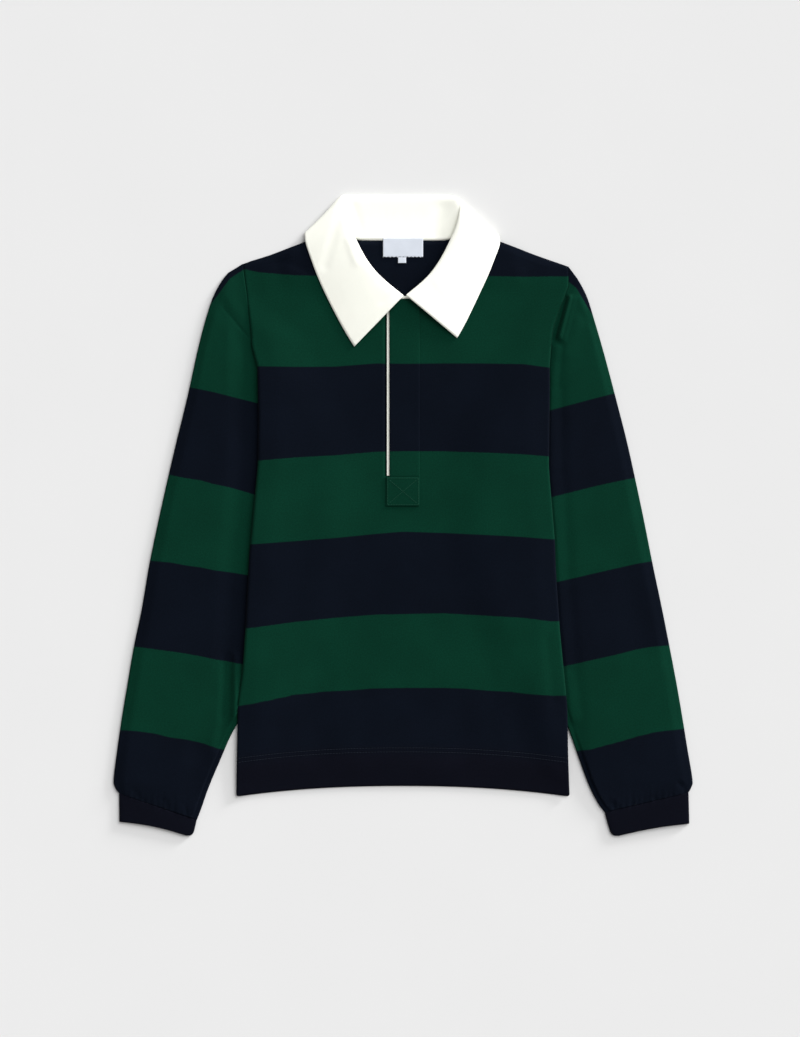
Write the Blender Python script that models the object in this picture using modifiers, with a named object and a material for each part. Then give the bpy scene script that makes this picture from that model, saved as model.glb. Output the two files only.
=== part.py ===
"""Long-sleeved rugby shirt laid flat on a table, front upward.

Sizes are in millimetres and the mesh is made in metres. X runs across the shirt, Y from the
hem to the collar and Z up from the table. The origin is the middle of the bottom of the box
round the shirt. The sleeves lie on the table, the sides of the body lie over them, and the
collar's fall passes behind the back and comes over the shoulders to the front.
"""
import math

import bpy
from mathutils import Vector

MM = 0.001

# Cloth and seams
CLOTH = 1.1
COLLAR_CLOTH = 1.1
LABEL_CLOTH = 1.0
SEAM_GAP = 0.3
ARMHOLE_GAP = 0.4
LABEL_GAP = 0.55
FALL_GAP = 0.45

# How the layers lie
SLEEVE_FLAT = 3.0
SLEEVE_PUFF = 2.2
SLEEVE_PUFF_START = 3.0
SLEEVE_PUFF_WIDTH = 24.0
SLEEVE_EDGE_WIDTH = 14.0
CUFF_PUFF = 0.9
BODY_RAMP = 28.0
BODY_RAMP_MARGIN = 12.0
BODY_PUFF = 1.2
BODY_PUFF_WIDTH = 26.0
FALL_SPACE = 2.3
FALL_SPACE_BOTTOM = 246.0
FALL_SPACE_TOP = 278.0
FALL_SPACE_SIDE = 142.0
FALL_SPACE_SIDE_RAMP = 18.0

# Hem line
HEM_MIDDLE = -302.2
HEM_DROP = 12.0
HEM_HALF_WIDTH = 187.0
HEM_CURVE_POWER = 2.2
HEM_CURVE_TOP = -190.0

# Front opening
SLOT_LEFT = -19.0
SLOT_RIGHT = 16.0
SLOT_BOTTOM = 45.0
STRIP_LEFT = -14.8
STRIP_RIGHT = 18.5
STRIP_BOTTOM = 44.2
BOX_LEFT = -18.7
BOX_BOTTOM = 11.4
BOX_TOP = 43.9
LOWER_STRIP_TOP = 246.6
UPPER_STRIP_TOP = 243.6
STRIP_MARGIN = 4.0

# Back neck and labels
BACK_NECK_Y = 308.7
PANEL_TOP = 315.0
LABEL_HALF_WIDTH = 22.4
LABEL_TOP = 311.4
LABEL_BOTTOM = 290.4
TAB_LEFT = -5.6
TAB_RIGHT = 3.4
TAB_TOP = 289.9
TAB_BOTTOM = 283.6

# Heights where both panels have a row: hem, slot, underarm, neckline and shoulder
ROW_STOPS = (HEM_MIDDLE, HEM_CURVE_TOP, SLOT_BOTTOM, 167.0, 247.9, 262.0, 279.4, BACK_NECK_Y,
             PANEL_TOP)

# Side edges of the body from the shoulder line down, as (y, x)
LEFT_SIDE = (
    (319.0, -76.8), (307.1, -109.8), (291.4, -152.0), (283.3, -178.8), (276.3, -178.6),
    (247.7, -174.7), (215.3, -171.4), (190.6, -169.1), (167.1, -164.3), (112.0, -163.5),
    (57.3, -163.0), (40.5, -164.1), (-43.5, -171.9), (-127.5, -176.4), (-161.1, -178.6),
    (-211.5, -180.3), (-226.0, -184.8), (-261.9, -185.9), (-315.0, -187.0),
)
RIGHT_SIDE = (
    (319.0, 76.8), (307.1, 109.8), (291.4, 151.2), (279.4, 185.6), (257.8, 186.4),
    (235.0, 179.5), (210.8, 170.4), (194.0, 167.1), (168.2, 163.9), (141.3, 164.1),
    (57.3, 163.0), (40.5, 164.1), (-26.7, 169.7), (-60.3, 170.8), (-127.5, 175.3),
    (-161.1, 178.6), (-211.5, 183.7), (-261.9, 184.8), (-315.0, 187.0),
)

# Neckline of the front from the shoulder down to the opening, as (y, distance from the middle)
FRONT_NECK = ((315.6, 85.2), (304.0, 83.6), (290.0, 79.2), (275.5, 69.6), (262.0, 53.6),
              (253.0, 34.0), (248.0, 19.0))

# Neckline of the back beside its straight middle, as (y, distance from the middle)
BACK_NECK_SIDE = ((315.6, 83.0), (311.4, 64.0), (308.7, 46.0))

# Hidden inner fold of each sleeve, where it starts to lift the body, as (y, distance from the middle)
SLEEVE_FOLD = (
    (300.0, 240.0), (245.0, 222.0), (225.0, 200.0), (205.0, 176.0), (196.0, 168.0), (92.0, 116.5),
    (75.0, 111.5), (55.0, 108.5), (18.0, 106.5), (0.0, 107.0), (-25.0, 108.5), (-50.0, 113.5),
    (-80.0, 121.5), (-118.0, 133.5), (-152.0, 148.5), (-182.0, 162.5), (-212.0, 174.0),
    (-245.0, 192.6), (-271.0, 208.0), (-315.0, 232.0),
)

# Sleeve sections from the armhole to the wrist, each a line across the flat sleeve:
# outer x, outer y, x and y where it passes under the side of the body, inner x, inner y
LEFT_SLEEVE = (
    (-179.3, 283.2, -169.9, 196.0, -118.0, 92.0),
    (-196.0, 273.0, -166.6, 172.0, -113.0, 75.0),
    (-210.6, 251.0, -164.6, 148.0, -110.0, 55.0),
    (-221.0, 222.0, -164.0, 120.0, -108.5, 35.0),
    (-231.0, 183.0, -163.8, 92.0, -108.0, 18.0),
    (-242.0, 133.0, -163.4, 58.0, -108.5, 0.0),
    (-254.0, 84.0, -165.9, 22.0, -110.0, -25.0),
    (-264.5, 39.0, -169.2, -12.0, -115.0, -50.0),
    (-274.5, -6.0, -172.3, -44.0, -123.0, -80.0),
    (-284.5, -54.0, -174.5, -85.0, -135.0, -118.0),
    (-293.0, -104.0, -176.6, -125.0, -150.0, -152.0),
    (-302.0, -147.0, -179.2, -165.0, -164.0, -182.0),
    (-309.0, -188.0, -182.0, -208.0, -175.5, -214.0),
    (-315.5, -227.0, -198.0, -243.6, -192.6, -245.0),
    (-320.5, -262.0, -210.0, -270.0, -204.0, -271.0),
    (-324.6, -295.0, -223.0, -301.0, -217.5, -303.0),
    (-322.6, -305.0, -232.0, -326.0, -226.5, -328.5),
    (-318.9, -310.2, -236.8, -338.2, -231.2, -340.6),
)
RIGHT_SLEEVE = (
    (186.2, 279.2, 168.3, 196.5, 118.0, 92.0),
    (195.5, 266.5, 164.9, 172.0, 113.0, 75.0),
    (206.0, 246.5, 164.6, 148.0, 110.0, 55.0),
    (214.5, 220.0, 164.5, 120.0, 108.5, 35.0),
    (225.5, 182.0, 164.1, 92.0, 108.0, 18.0),
    (238.5, 133.0, 163.5, 58.0, 108.5, 0.0),
    (251.0, 84.0, 165.5, 22.0, 110.0, -25.0),
    (261.0, 39.0, 168.7, -12.0, 115.0, -50.0),
    (270.5, -6.0, 170.8, -44.0, 123.0, -80.0),
    (280.0, -54.0, 172.9, -85.0, 135.0, -118.0),
    (290.5, -104.0, 175.6, -125.0, 150.0, -152.0),
    (299.0, -147.0, 179.4, -165.0, 164.0, -182.0),
    (306.8, -188.0, 183.6, -207.0, 176.0, -214.0),
    (313.5, -227.0, 193.0, -242.0, 187.5, -244.0),
    (319.0, -261.0, 202.0, -267.0, 196.0, -268.5),
    (324.6, -295.0, 213.5, -299.0, 208.0, -301.0),
    (323.3, -304.0, 223.5, -319.0, 218.0, -321.0),
    (320.3, -309.6, 231.5, -330.4, 226.0, -332.0),
)

# Cuff sections from its seam to its end: outer x and y, inner x and y, bow up toward the sleeve
LEFT_CUFF = (
    (-318.4, -311.0, -231.6, -341.5, 0.0),
    (-318.2, -327.0, -233.6, -350.6, 1.5),
    (-318.1, -342.5, -237.0, -360.3, 3.0),
)
RIGHT_CUFF = (
    (320.2, -310.5, 226.3, -332.8, 0.0),
    (320.6, -327.0, 229.6, -345.5, 1.5),
    (321.0, -344.6, 235.0, -360.2, 2.0),
)

# Collar sections from the middle of the back to the end at the opening. Each has the neck seam
# and the roll as x, y, z, the outer edge as x, y and the height of its edge (None where it lies
# on the front), and the turn: 1 where the neck side lies on top, -1 where it lies underneath
COLLAR_BACK_MIDDLE = ((0.0, 309.1, 2.9), (0.0, 360.6, 3.0), (0.0, 298.0), 0.95, 1.0)
COLLAR_LEFT = (
    ((-24.0, 309.1, 2.9), (-31.0, 360.6, 3.0), (-46.0, 298.0), 0.95, 1.0),
    ((-46.0, 309.2, 2.9), (-54.0, 360.6, 3.1), (-84.0, 299.0), 0.95, 0.95),
    ((-62.5, 312.4, 3.1), (-64.5, 360.0, 3.7), (-104.0, 304.0), 0.95, 0.7),
    ((-75.0, 315.6, 3.1), (-67.3, 358.0, 4.1), (-108.4, 312.6), 1.3, 0.4),
    ((-84.6, 317.2, 4.3), (-66.2, 353.6, 6.4), (-110.4, 318.2), 3.9, 0.0),
    ((-84.0, 313.4, 5.5), (-63.2, 342.0, 8.6), (-110.0, 307.8), 6.7, -0.5),
    ((-82.2, 304.0, 5.8), (-59.6, 326.0, 9.2), (-105.8, 296.0), None, -0.9),
    ((-77.6, 290.0, 5.5), (-51.2, 308.0, 9.0), (-98.0, 273.0), None, -1.0),
    ((-68.0, 276.0, 5.5), (-41.6, 288.5, 9.0), (-87.5, 249.5), None, -1.0),
    ((-52.2, 263.0, 5.5), (-27.6, 270.5, 9.0), (-75.5, 225.6), None, -1.0),
    ((-33.0, 254.4, 5.5), (-11.8, 256.8, 8.9), (-64.0, 204.6), None, -1.0),
    ((-15.0, 249.8, 5.5), (-0.6, 247.2, 8.9), (-54.6, 190.0), None, -1.0),
)
COLLAR_RIGHT = (
    ((24.0, 309.1, 2.9), (28.0, 360.6, 3.0), (46.0, 298.0), 0.95, 1.0),
    ((46.0, 309.2, 2.9), (48.5, 360.2, 3.1), (82.0, 299.0), 0.95, 0.95),
    ((62.5, 312.4, 3.1), (60.5, 356.4, 3.7), (100.0, 304.0), 0.95, 0.7),
    ((75.0, 315.6, 3.1), (64.2, 353.0, 4.1), (104.6, 312.6), 1.2, 0.4),
    ((84.6, 317.2, 4.3), (64.0, 347.6, 6.4), (107.4, 317.6), 3.9, 0.0),
    ((84.0, 313.4, 5.5), (61.8, 336.4, 8.6), (109.0, 306.6), 6.7, -0.5),
    ((82.2, 304.0, 5.8), (58.8, 324.0, 9.2), (104.6, 294.0), None, -0.9),
    ((77.6, 290.0, 5.5), (51.0, 306.5, 9.0), (97.0, 273.0), None, -1.0),
    ((68.0, 276.0, 5.5), (41.8, 288.0, 9.0), (88.0, 254.0), None, -1.0),
    ((52.2, 263.0, 5.5), (28.6, 269.0, 9.0), (79.5, 236.0), None, -1.0),
    ((33.0, 254.4, 5.5), (14.2, 256.3, 8.9), (70.5, 217.0), None, -1.0),
    ((18.0, 249.8, 5.5), (4.8, 247.3, 8.9), (60.6, 199.6), None, -1.0),
)
ROLL_RADIUS = 2.0
BACK_ROLL_RADIUS = 1.4
SIDE_ROLL_EXTRA = 1.5
BACK_STAND_SAG = 0.9
ROLL_REACH = 3.0
FALL_CROWN = 0.6
FALL_STEPS = (0.33, 0.68)

# Largest folds of the upper layers: start x and y, end x and y, half width, height
FOLDS = (
    (-202.7, 235.4, -172.5, 197.3, 9.0, -0.9),
    (-191.5, -165.5, -227.4, -264.1, 12.0, -1.0),
    (-227.4, -264.1, -234.0, -312.0, 11.0, -0.9),
    (176.0, 197.0, 177.0, 119.0, 8.0, 0.6),
    (250.0, -60.0, 268.0, -150.0, 14.0, -0.7),
    (-137.8, 286.9, -103.0, 274.6, 8.0, -0.5),
    (-92.0, -175.0, -96.0, -262.0, 13.0, -0.6),
    (62.0, -180.0, 64.0, -262.0, 13.0, -0.5),
    (130.0, -150.0, 135.0, -262.0, 13.0, -0.6),
    (163.0, -139.0, 170.0, -206.0, 9.0, -0.6),
)

# Mesh densities, and how near two row heights count as the same
SIDE_COLUMNS = 9
SLOT_COLUMNS = 3
BACK_COLUMNS = 6
ROW_STEP = 17.0
SLEEVE_HIDDEN_POINTS = 4
SLEEVE_SHOWN_POINTS = 8
FOLD_ARC_POINTS = 3
SAME_HEIGHT = 0.01

GREEN = (0.004, 0.036, 0.021, 1.0)
NAVY = (0.004, 0.006, 0.010, 1.0)
WHITE = (0.93, 0.93, 0.89, 1.0)
LABEL_GREY = (0.68, 0.72, 0.79, 1.0)


def smooth(t):
    """Ease from 0 to 1 as t runs from 0 to 1."""
    t = min(max(t, 0.0), 1.0)
    return t * t * (3.0 - 2.0 * t)


def read(table, y):
    """Second column of a table at a height y; the first column runs downward."""
    for upper, lower in zip(table, table[1:]):
        if y >= lower[0]:
            share = (upper[0] - min(y, upper[0])) / (upper[0] - lower[0])
            return upper[1] + share * (lower[1] - upper[1])
    return table[-1][1]


def fold_height(x, y):
    """Sum of the soft folds at a point; each ends at twice its half width."""
    total = 0.0
    point = Vector((x, y))
    for x0, y0, x1, y1, half_width, height in FOLDS:
        start = Vector((x0, y0))
        along = Vector((x1, y1)) - start
        t = min(max((point - start).dot(along) / along.length_squared, 0.0), 1.0)
        distance = (point - start - along * t).length
        total += height * smooth(1.0 - distance / (2.0 * half_width))
    return total


def edge_distance(x, y):
    """Distance in from the nearest side or hem of the body."""
    to_left = x - read(LEFT_SIDE, y)
    to_right = read(RIGHT_SIDE, y) - x
    return min(to_left, to_right, y - HEM_MIDDLE)


def body_lift(x, y):
    """Height of the back's underside over the table."""
    past_fold = abs(x) - read(SLEEVE_FOLD, y) + BODY_RAMP_MARGIN
    over_sleeve = (SLEEVE_FLAT + SEAM_GAP) * smooth(1.0 + past_fold / BODY_RAMP)
    neck_ramp = smooth((y - FALL_SPACE_BOTTOM) / (FALL_SPACE_TOP - FALL_SPACE_BOTTOM))
    side_ramp = smooth((FALL_SPACE_SIDE - abs(x)) / FALL_SPACE_SIDE_RAMP)
    return over_sleeve + FALL_SPACE * neck_ramp * side_ramp


def back_height(x, y):
    """Middle of the back's cloth."""
    return body_lift(x, y) + CLOTH / 2


def front_height(x, y):
    """Middle of the front's cloth."""
    inside = smooth(edge_distance(x, y) / BODY_PUFF_WIDTH)
    return back_height(x, y) + CLOTH + SEAM_GAP + BODY_PUFF * inside + fold_height(x, y) * inside


def placket_height(x, y):
    """Middle of a strip that lies on the front."""
    return front_height(x, y) + CLOTH + SEAM_GAP


def label_height(x, y):
    """Middle of a label that lies on the back's inner face."""
    return back_height(x, min(y, BACK_NECK_Y)) + (CLOTH + LABEL_CLOTH) / 2 + LABEL_GAP


def new_object(name, vertices, faces, colour, roughness=0.85):
    """Mesh object in the shirt's collection, from points in millimetres."""
    mesh = bpy.data.meshes.new(name)
    mesh.from_pydata([tuple(c * MM for c in v) for v in vertices], [], faces)
    mesh.update()
    material = bpy.data.materials.new(name + "_cloth")
    material.use_nodes = True
    shader = material.node_tree.nodes["Principled BSDF"]
    shader.inputs["Base Color"].default_value = colour
    shader.inputs["Roughness"].default_value = roughness
    shader.inputs["Metallic"].default_value = 0.0
    mesh.materials.append(material)
    item = bpy.data.objects.new(name, mesh)
    bpy.data.collections["rugby_shirt"].objects.link(item)
    mesh.shade_smooth()
    mesh.set_sharp_from_angle(angle=math.radians(40.0))
    return item


def thicken(item, thickness):
    """Give an open sheet its cloth thickness, half to each side."""
    solid = item.modifiers.new("cloth", "SOLIDIFY")
    solid.thickness = thickness * MM
    solid.offset = 0.0
    return item


def sheet(name, rows, skip, thickness, colour):
    """Cloth sheet over rows of points; skip(row, column) leaves a cell out."""
    columns = len(rows[0])
    used = {}
    vertices = []
    faces = []
    for r in range(len(rows) - 1):
        for c in range(columns - 1):
            if skip(r, c):
                continue
            corners = ((r, c), (r, c + 1), (r + 1, c + 1), (r + 1, c))
            for corner in corners:
                if corner not in used:
                    used[corner] = len(vertices)
                    vertices.append(rows[corner[0]][corner[1]])
            faces.append(tuple(used[corner] for corner in corners))
    return thicken(new_object(name, vertices, faces, colour), thickness)


def spread(start, end, count):
    """Even values from start to end, count steps."""
    return [start + (end - start) * i / count for i in range(count + 1)]


def row_heights(stops):
    """Row positions from the hem up, even between the stops that must have a row."""
    rows = [stops[0]]
    for low, high in zip(stops, stops[1:]):
        count = max(1, round((high - low) / ROW_STEP))
        rows += spread(low, high, count)[1:]
    return rows


def hem_curve(x, y):
    """Row height bent down toward the sides near the hem."""
    drop = HEM_DROP * min(abs(x) / HEM_HALF_WIDTH, 1.0) ** HEM_CURVE_POWER
    return y - drop * min(max((HEM_CURVE_TOP - y) / (HEM_CURVE_TOP - HEM_MIDDLE), 0.0), 1.0)


def body_panel(name, height, gap_left, gap_right, gap_bottom, gap_columns, colour):
    """Front or back, open above gap_bottom between the two gap edges."""
    rows = []
    heights = row_heights(ROW_STOPS)
    for y in heights:
        left = spread(read(LEFT_SIDE, y), gap_left(y), SIDE_COLUMNS)
        middle = spread(gap_left(y), gap_right(y), gap_columns)
        right = spread(gap_right(y), read(RIGHT_SIDE, y), SIDE_COLUMNS)
        points = []
        for x in left + middle[1:] + right[1:]:
            bent = hem_curve(x, y)
            points.append((x, bent, height(x, bent)))
        rows.append(points)

    def skip(r, c):
        in_gap = SIDE_COLUMNS <= c < SIDE_COLUMNS + gap_columns
        return in_gap and heights[r] >= gap_bottom - SAME_HEIGHT

    return sheet(name, rows, skip, CLOTH, colour)


def add_front():
    return body_panel(
        "front", front_height,
        lambda y: SLOT_LEFT if y < FRONT_NECK[-1][0] else -read(FRONT_NECK, y),
        lambda y: SLOT_RIGHT if y < FRONT_NECK[-1][0] else read(FRONT_NECK, y),
        SLOT_BOTTOM, SLOT_COLUMNS, GREEN)


def add_back():
    return body_panel(
        "back", back_height,
        lambda y: -read(BACK_NECK_SIDE, y), lambda y: read(BACK_NECK_SIDE, y),
        BACK_NECK_Y, BACK_COLUMNS, GREEN)


def sleeve_top(x, y, from_body, from_outer):
    """Upper face of a sleeve, flat under the body and fuller beside it."""
    beside_body = smooth((from_body - SLEEVE_PUFF_START) / SLEEVE_PUFF_WIDTH)
    in_from_edge = smooth(from_outer / SLEEVE_EDGE_WIDTH)
    puff = beside_body * in_from_edge
    return SLEEVE_FLAT + SLEEVE_PUFF * puff + fold_height(x, y) * puff


def section_loops(top_points, top_heights):
    """Outer and inner loop of a flat tube from plan points and upper heights.

    The loop runs along the top from the outer fold to the inner fold, round the inner fold,
    back along the table and round the outer fold.
    """
    radius = SLEEVE_FLAT / 2
    first = top_points[0]
    last = top_points[-1]
    outward_first = (first - top_points[1]).normalized()
    outward_last = (last - top_points[-2]).normalized()
    loops = []
    for inset in (0.0, CLOTH):
        loop = []
        for point, height in zip(top_points, top_heights):
            loop.append((point.x, point.y, height - inset))
        for step in range(1, FOLD_ARC_POINTS + 1):
            angle = math.pi * (0.5 - step / (FOLD_ARC_POINTS + 1))
            reach = outward_last * (radius - inset) * math.cos(angle)
            loop.append((last.x + reach.x, last.y + reach.y,
                         radius + (radius - inset) * math.sin(angle)))
        for point in reversed(top_points):
            loop.append((point.x, point.y, inset))
        for step in range(1, FOLD_ARC_POINTS + 1):
            angle = math.pi * (step / (FOLD_ARC_POINTS + 1) - 0.5)
            reach = outward_first * (radius - inset) * math.cos(angle)
            loop.append((first.x + reach.x, first.y + reach.y,
                         radius + (radius - inset) * math.sin(angle)))
        loops.append(loop)
    return loops


def tube(name, sections, colour):
    """Closed cloth tube, open at both ends, over sections of outer and inner loops."""
    count = len(sections[0][0])
    vertices = []
    for outer, inner in sections:
        vertices += outer + inner
    faces = []
    per_section = 2 * count
    for s in range(len(sections) - 1):
        for i in range(count):
            j = (i + 1) % count
            low = s * per_section
            high = low + per_section
            faces.append((low + i, low + j, high + j, high + i))
            faces.append((low + count + j, low + count + i, high + count + i, high + count + j))
    last = (len(sections) - 1) * per_section
    for i in range(count):
        j = (i + 1) % count
        faces.append((i, count + i, count + j, j))
        faces.append((last + j, last + count + j, last + count + i, last + i))
    return new_object(name, vertices, faces, colour)


def sleeve_point(side_table, station, share, first):
    """Plan point from the outer edge (0) to the body's edge (1); the first follows the armhole."""
    outer = Vector(station[0:2])
    cross = Vector(station[2:4])
    point = outer.lerp(cross, share)
    if first:
        point.x = read(side_table, point.y) + math.copysign(ARMHOLE_GAP, outer.x)
    return point


def add_sleeve(name, stations, side_table, flip):
    """Sleeve as a flat tube from the armhole to the cuff seam."""
    edge_inset = SLEEVE_FLAT / 2
    sections = []
    for index, station in enumerate(stations):
        outer = Vector(station[0:2])
        cross = Vector(station[2:4])
        inner = Vector(station[4:6])
        width = (outer - cross).length
        points = []
        heights = []
        for share in spread(edge_inset / width, 1.0, SLEEVE_SHOWN_POINTS):
            point = sleeve_point(side_table, station, share, index == 0)
            from_body = abs(point.x - read(side_table, point.y))
            points.append(point)
            heights.append(sleeve_top(point.x, point.y, from_body, share * width))
        hidden_end = 1.0 - edge_inset / (inner - cross).length
        for share in spread(0.0, hidden_end, SLEEVE_HIDDEN_POINTS)[1:]:
            points.append(cross.lerp(inner, share))
            heights.append(SLEEVE_FLAT)
        sections.append(section_loops(points, heights))
    if flip:
        sections = [[list(reversed(loop)) for loop in section] for section in sections]
    return tube(name, sections, NAVY)


def add_cuff(name, stations, flip):
    """Cuff as a flat tube from its seam to its end."""
    edge_inset = SLEEVE_FLAT / 2
    sections = []
    for outer_x, outer_y, inner_x, inner_y, bow in stations:
        outer = Vector((outer_x, outer_y))
        inner = Vector((inner_x, inner_y))
        across = inner - outer
        width = across.length
        points = []
        heights = []
        for share in spread(edge_inset / width, 1.0 - edge_inset / width, SLEEVE_SHOWN_POINTS):
            arch = math.sin(math.pi * share)
            points.append(outer + across * share + Vector((0.0, bow * arch)))
            heights.append(SLEEVE_FLAT + CUFF_PUFF * math.sqrt(arch))
        sections.append(section_loops(points, heights))
    if flip:
        sections = [[list(reversed(loop)) for loop in section] for section in sections]
    return tube(name, sections, NAVY)


def fall_height(x, y):
    """Lowest middle height of a fall that lies on the front, over the strip where that is."""
    over_strip = STRIP_LEFT - STRIP_MARGIN < x < STRIP_RIGHT + STRIP_MARGIN
    strip = CLOTH + SEAM_GAP if over_strip else 0.0
    return front_height(x, y) + (CLOTH + COLLAR_CLOTH) / 2 + FALL_GAP + strip


def collar_section(neck, roll, edge, edge_height, turn):
    """Points of one collar section from the neck seam over the roll to the outer edge."""
    neck = Vector(neck)
    roll = Vector(roll)
    on_front = edge_height is None
    edge = Vector((*edge, fall_height(*edge) if on_front else edge_height))
    to_neck = (neck - roll).normalized()
    to_edge = (edge - roll).normalized()
    inward = -math.copysign(math.sqrt(1.0 - turn * turn), roll.x)
    apart = Vector((inward, 0.0, turn))
    sideways = 1.0 - turn * turn
    radius = ROLL_RADIUS + (BACK_ROLL_RADIUS - ROLL_RADIUS) * max(turn, 0.0)
    radius += SIDE_ROLL_EXTRA * sideways
    reach = ROLL_REACH + SIDE_ROLL_EXTRA * sideways
    neck_side = roll + to_neck * reach + apart * radius
    edge_side = roll + to_edge * reach - apart * radius
    stand = neck.lerp(neck_side, 0.5) - Vector((0.0, 0.0, BACK_STAND_SAG * max(turn, 0.0)))
    crown = Vector((0.0, 0.0, FALL_CROWN * max(-turn, 0.0)))
    fall = [edge_side.lerp(edge, share) + crown for share in FALL_STEPS]
    if on_front:
        for point in fall:
            point.z = max(point.z, fall_height(point.x, point.y))
    return [neck, stand, neck_side, roll, edge_side, *fall, edge]


def add_collar():
    """One-piece collar from the neck seam over the roll to the points."""
    stations = list(reversed(COLLAR_LEFT)) + [COLLAR_BACK_MIDDLE] + list(COLLAR_RIGHT)
    rows = [[tuple(point) for point in collar_section(*station)] for station in stations]
    item = sheet("collar", rows, lambda r, c: False, COLLAR_CLOTH, WHITE)
    item.modifiers.remove(item.modifiers["cloth"])
    soft = item.modifiers.new("soft", "SUBSURF")
    soft.levels = 1
    soft.render_levels = 1
    soft.boundary_smooth = "PRESERVE_CORNERS"
    thicken(item, COLLAR_CLOTH)


def flat_piece(name, left, right, bottom, top, height, thickness, steps, colour):
    """Straight-edged sheet that follows the surface below it."""
    columns, rows = steps
    grid = [[(x, y, height(x, y)) for x in spread(left, right, columns)]
            for y in spread(bottom, top, rows)]
    return sheet(name, grid, lambda r, c: False, thickness, colour)


def add_placket():
    """White under strip in the slot, striped strip over it, and the box that closes them."""
    flat_piece("placket_lower", SLOT_LEFT + SEAM_GAP, SLOT_RIGHT - SEAM_GAP,
               SLOT_BOTTOM + SEAM_GAP, LOWER_STRIP_TOP, front_height, CLOTH, (4, 12), WHITE)
    flat_piece("placket_upper", STRIP_LEFT, STRIP_RIGHT, STRIP_BOTTOM, UPPER_STRIP_TOP,
               placket_height, CLOTH, (4, 12), GREEN)
    flat_piece("placket_box", BOX_LEFT, STRIP_RIGHT, BOX_BOTTOM, BOX_TOP,
               placket_height, CLOTH, (4, 3), GREEN)


def add_labels():
    """Woven label in the back neck and the small tab under it."""
    flat_piece("label", -LABEL_HALF_WIDTH, LABEL_HALF_WIDTH, LABEL_BOTTOM, LABEL_TOP,
               label_height, LABEL_CLOTH, (4, 3), LABEL_GREY)
    flat_piece("size_tab", TAB_LEFT, TAB_RIGHT, TAB_BOTTOM, TAB_TOP,
               label_height, LABEL_CLOTH, (2, 2), LABEL_GREY)


def main():
    for item in list(bpy.data.objects):
        bpy.data.objects.remove(item, do_unlink=True)
    collection = bpy.data.collections.new("rugby_shirt")
    bpy.context.scene.collection.children.link(collection)
    add_back()
    add_front()
    add_sleeve("sleeve_left", LEFT_SLEEVE, LEFT_SIDE, True)
    add_sleeve("sleeve_right", RIGHT_SLEEVE, RIGHT_SIDE, False)
    add_cuff("cuff_left", LEFT_CUFF, True)
    add_cuff("cuff_right", RIGHT_CUFF, False)
    add_collar()
    add_placket()
    add_labels()


main()
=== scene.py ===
"""Long-sleeved rugby shirt laid flat, front upward, on a pale floor.

Sizes in the tables are in millimetres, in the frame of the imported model: X across the shirt,
Y from the hem to the collar and Z up from the floor. Meshes are made in metres.
"""

import math

import bpy
import numpy as np
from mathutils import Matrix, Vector
from numpy.linalg import norm


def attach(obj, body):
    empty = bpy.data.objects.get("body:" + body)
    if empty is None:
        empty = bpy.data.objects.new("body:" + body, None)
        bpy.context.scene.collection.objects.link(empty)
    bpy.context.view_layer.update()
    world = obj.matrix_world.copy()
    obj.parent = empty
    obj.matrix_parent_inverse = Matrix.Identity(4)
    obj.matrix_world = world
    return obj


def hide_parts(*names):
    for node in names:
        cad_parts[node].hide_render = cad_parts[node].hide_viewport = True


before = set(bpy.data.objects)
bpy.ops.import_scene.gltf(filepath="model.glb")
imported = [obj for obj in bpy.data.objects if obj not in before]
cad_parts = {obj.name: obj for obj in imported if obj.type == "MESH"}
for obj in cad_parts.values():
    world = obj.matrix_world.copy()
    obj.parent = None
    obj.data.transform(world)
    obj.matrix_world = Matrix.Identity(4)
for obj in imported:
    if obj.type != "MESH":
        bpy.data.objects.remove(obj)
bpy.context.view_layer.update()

MM = 0.001

# Cloth, in the solids and in the thin shells that stand for them
CLOTH = 1.1
COLLAR_CLOTH = 1.1
LABEL_CLOTH = 1.0
SEAM_GAP = 0.3
JERSEY_SHELL = 0.85
COLLAR_SHELL = 1.15
LABEL_SHELL = 0.45
LABEL_FRAY = 0.7

# How the layers lie
SLEEVE_FLAT = 3.0
SLEEVE_LEAST = 1.9
SLEEVE_DIP = 1.1
SLEEVE_DIP_WIDTH = 20.0
DIP_ENDS = (-192.0, 215.0)
DIP_RAMPS = (40.0, 60.0)
DIP_PUFF_SHIFT = 11.0
SLEEVE_PUFF = 2.2
SLEEVE_PUFF_START = 3.0
SLEEVE_PUFF_WIDTH = 24.0
SLEEVE_EDGE_WIDTH = 14.0
RIDGE_RAMP = 2.0
TROUGH_RAMP = 1.2
BODY_RAMP = 28.0
FRONT_RAMP = 56.0
BODY_RAMP_MARGIN = 12.0
BODY_PUFF = 1.2
BODY_PUFF_WIDTH = 26.0
LEFT_RISE = 3.0
LEFT_RISE_WIDTH = 64.0
LEFT_RISE_ENDS = (-215.0, 205.0)
LEFT_RISE_RAMPS = (60.0, 60.0)
FALL_SPACE = 2.3
FALL_SPACE_BOTTOM = 246.0
FALL_SPACE_TOP = 278.0
FALL_SPACE_SIDE = 142.0
FALL_SPACE_SIDE_RAMP = 18.0

# Hem line and its twin stitching
HEM_MIDDLE = -302.2
HEM_DROP = 12.0
HEM_HALF_WIDTH = 187.0
HEM_CURVE_POWER = 2.2
HEM_CURVE_TOP = -190.0
HEM_CORNER = 3.0
HEM_CORNER_REACH = 9.0
HEM_DEPTH = 40.3
TWIN_HALF_GAP = 2.25
HEM_DYE_RUN = 12.0

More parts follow.
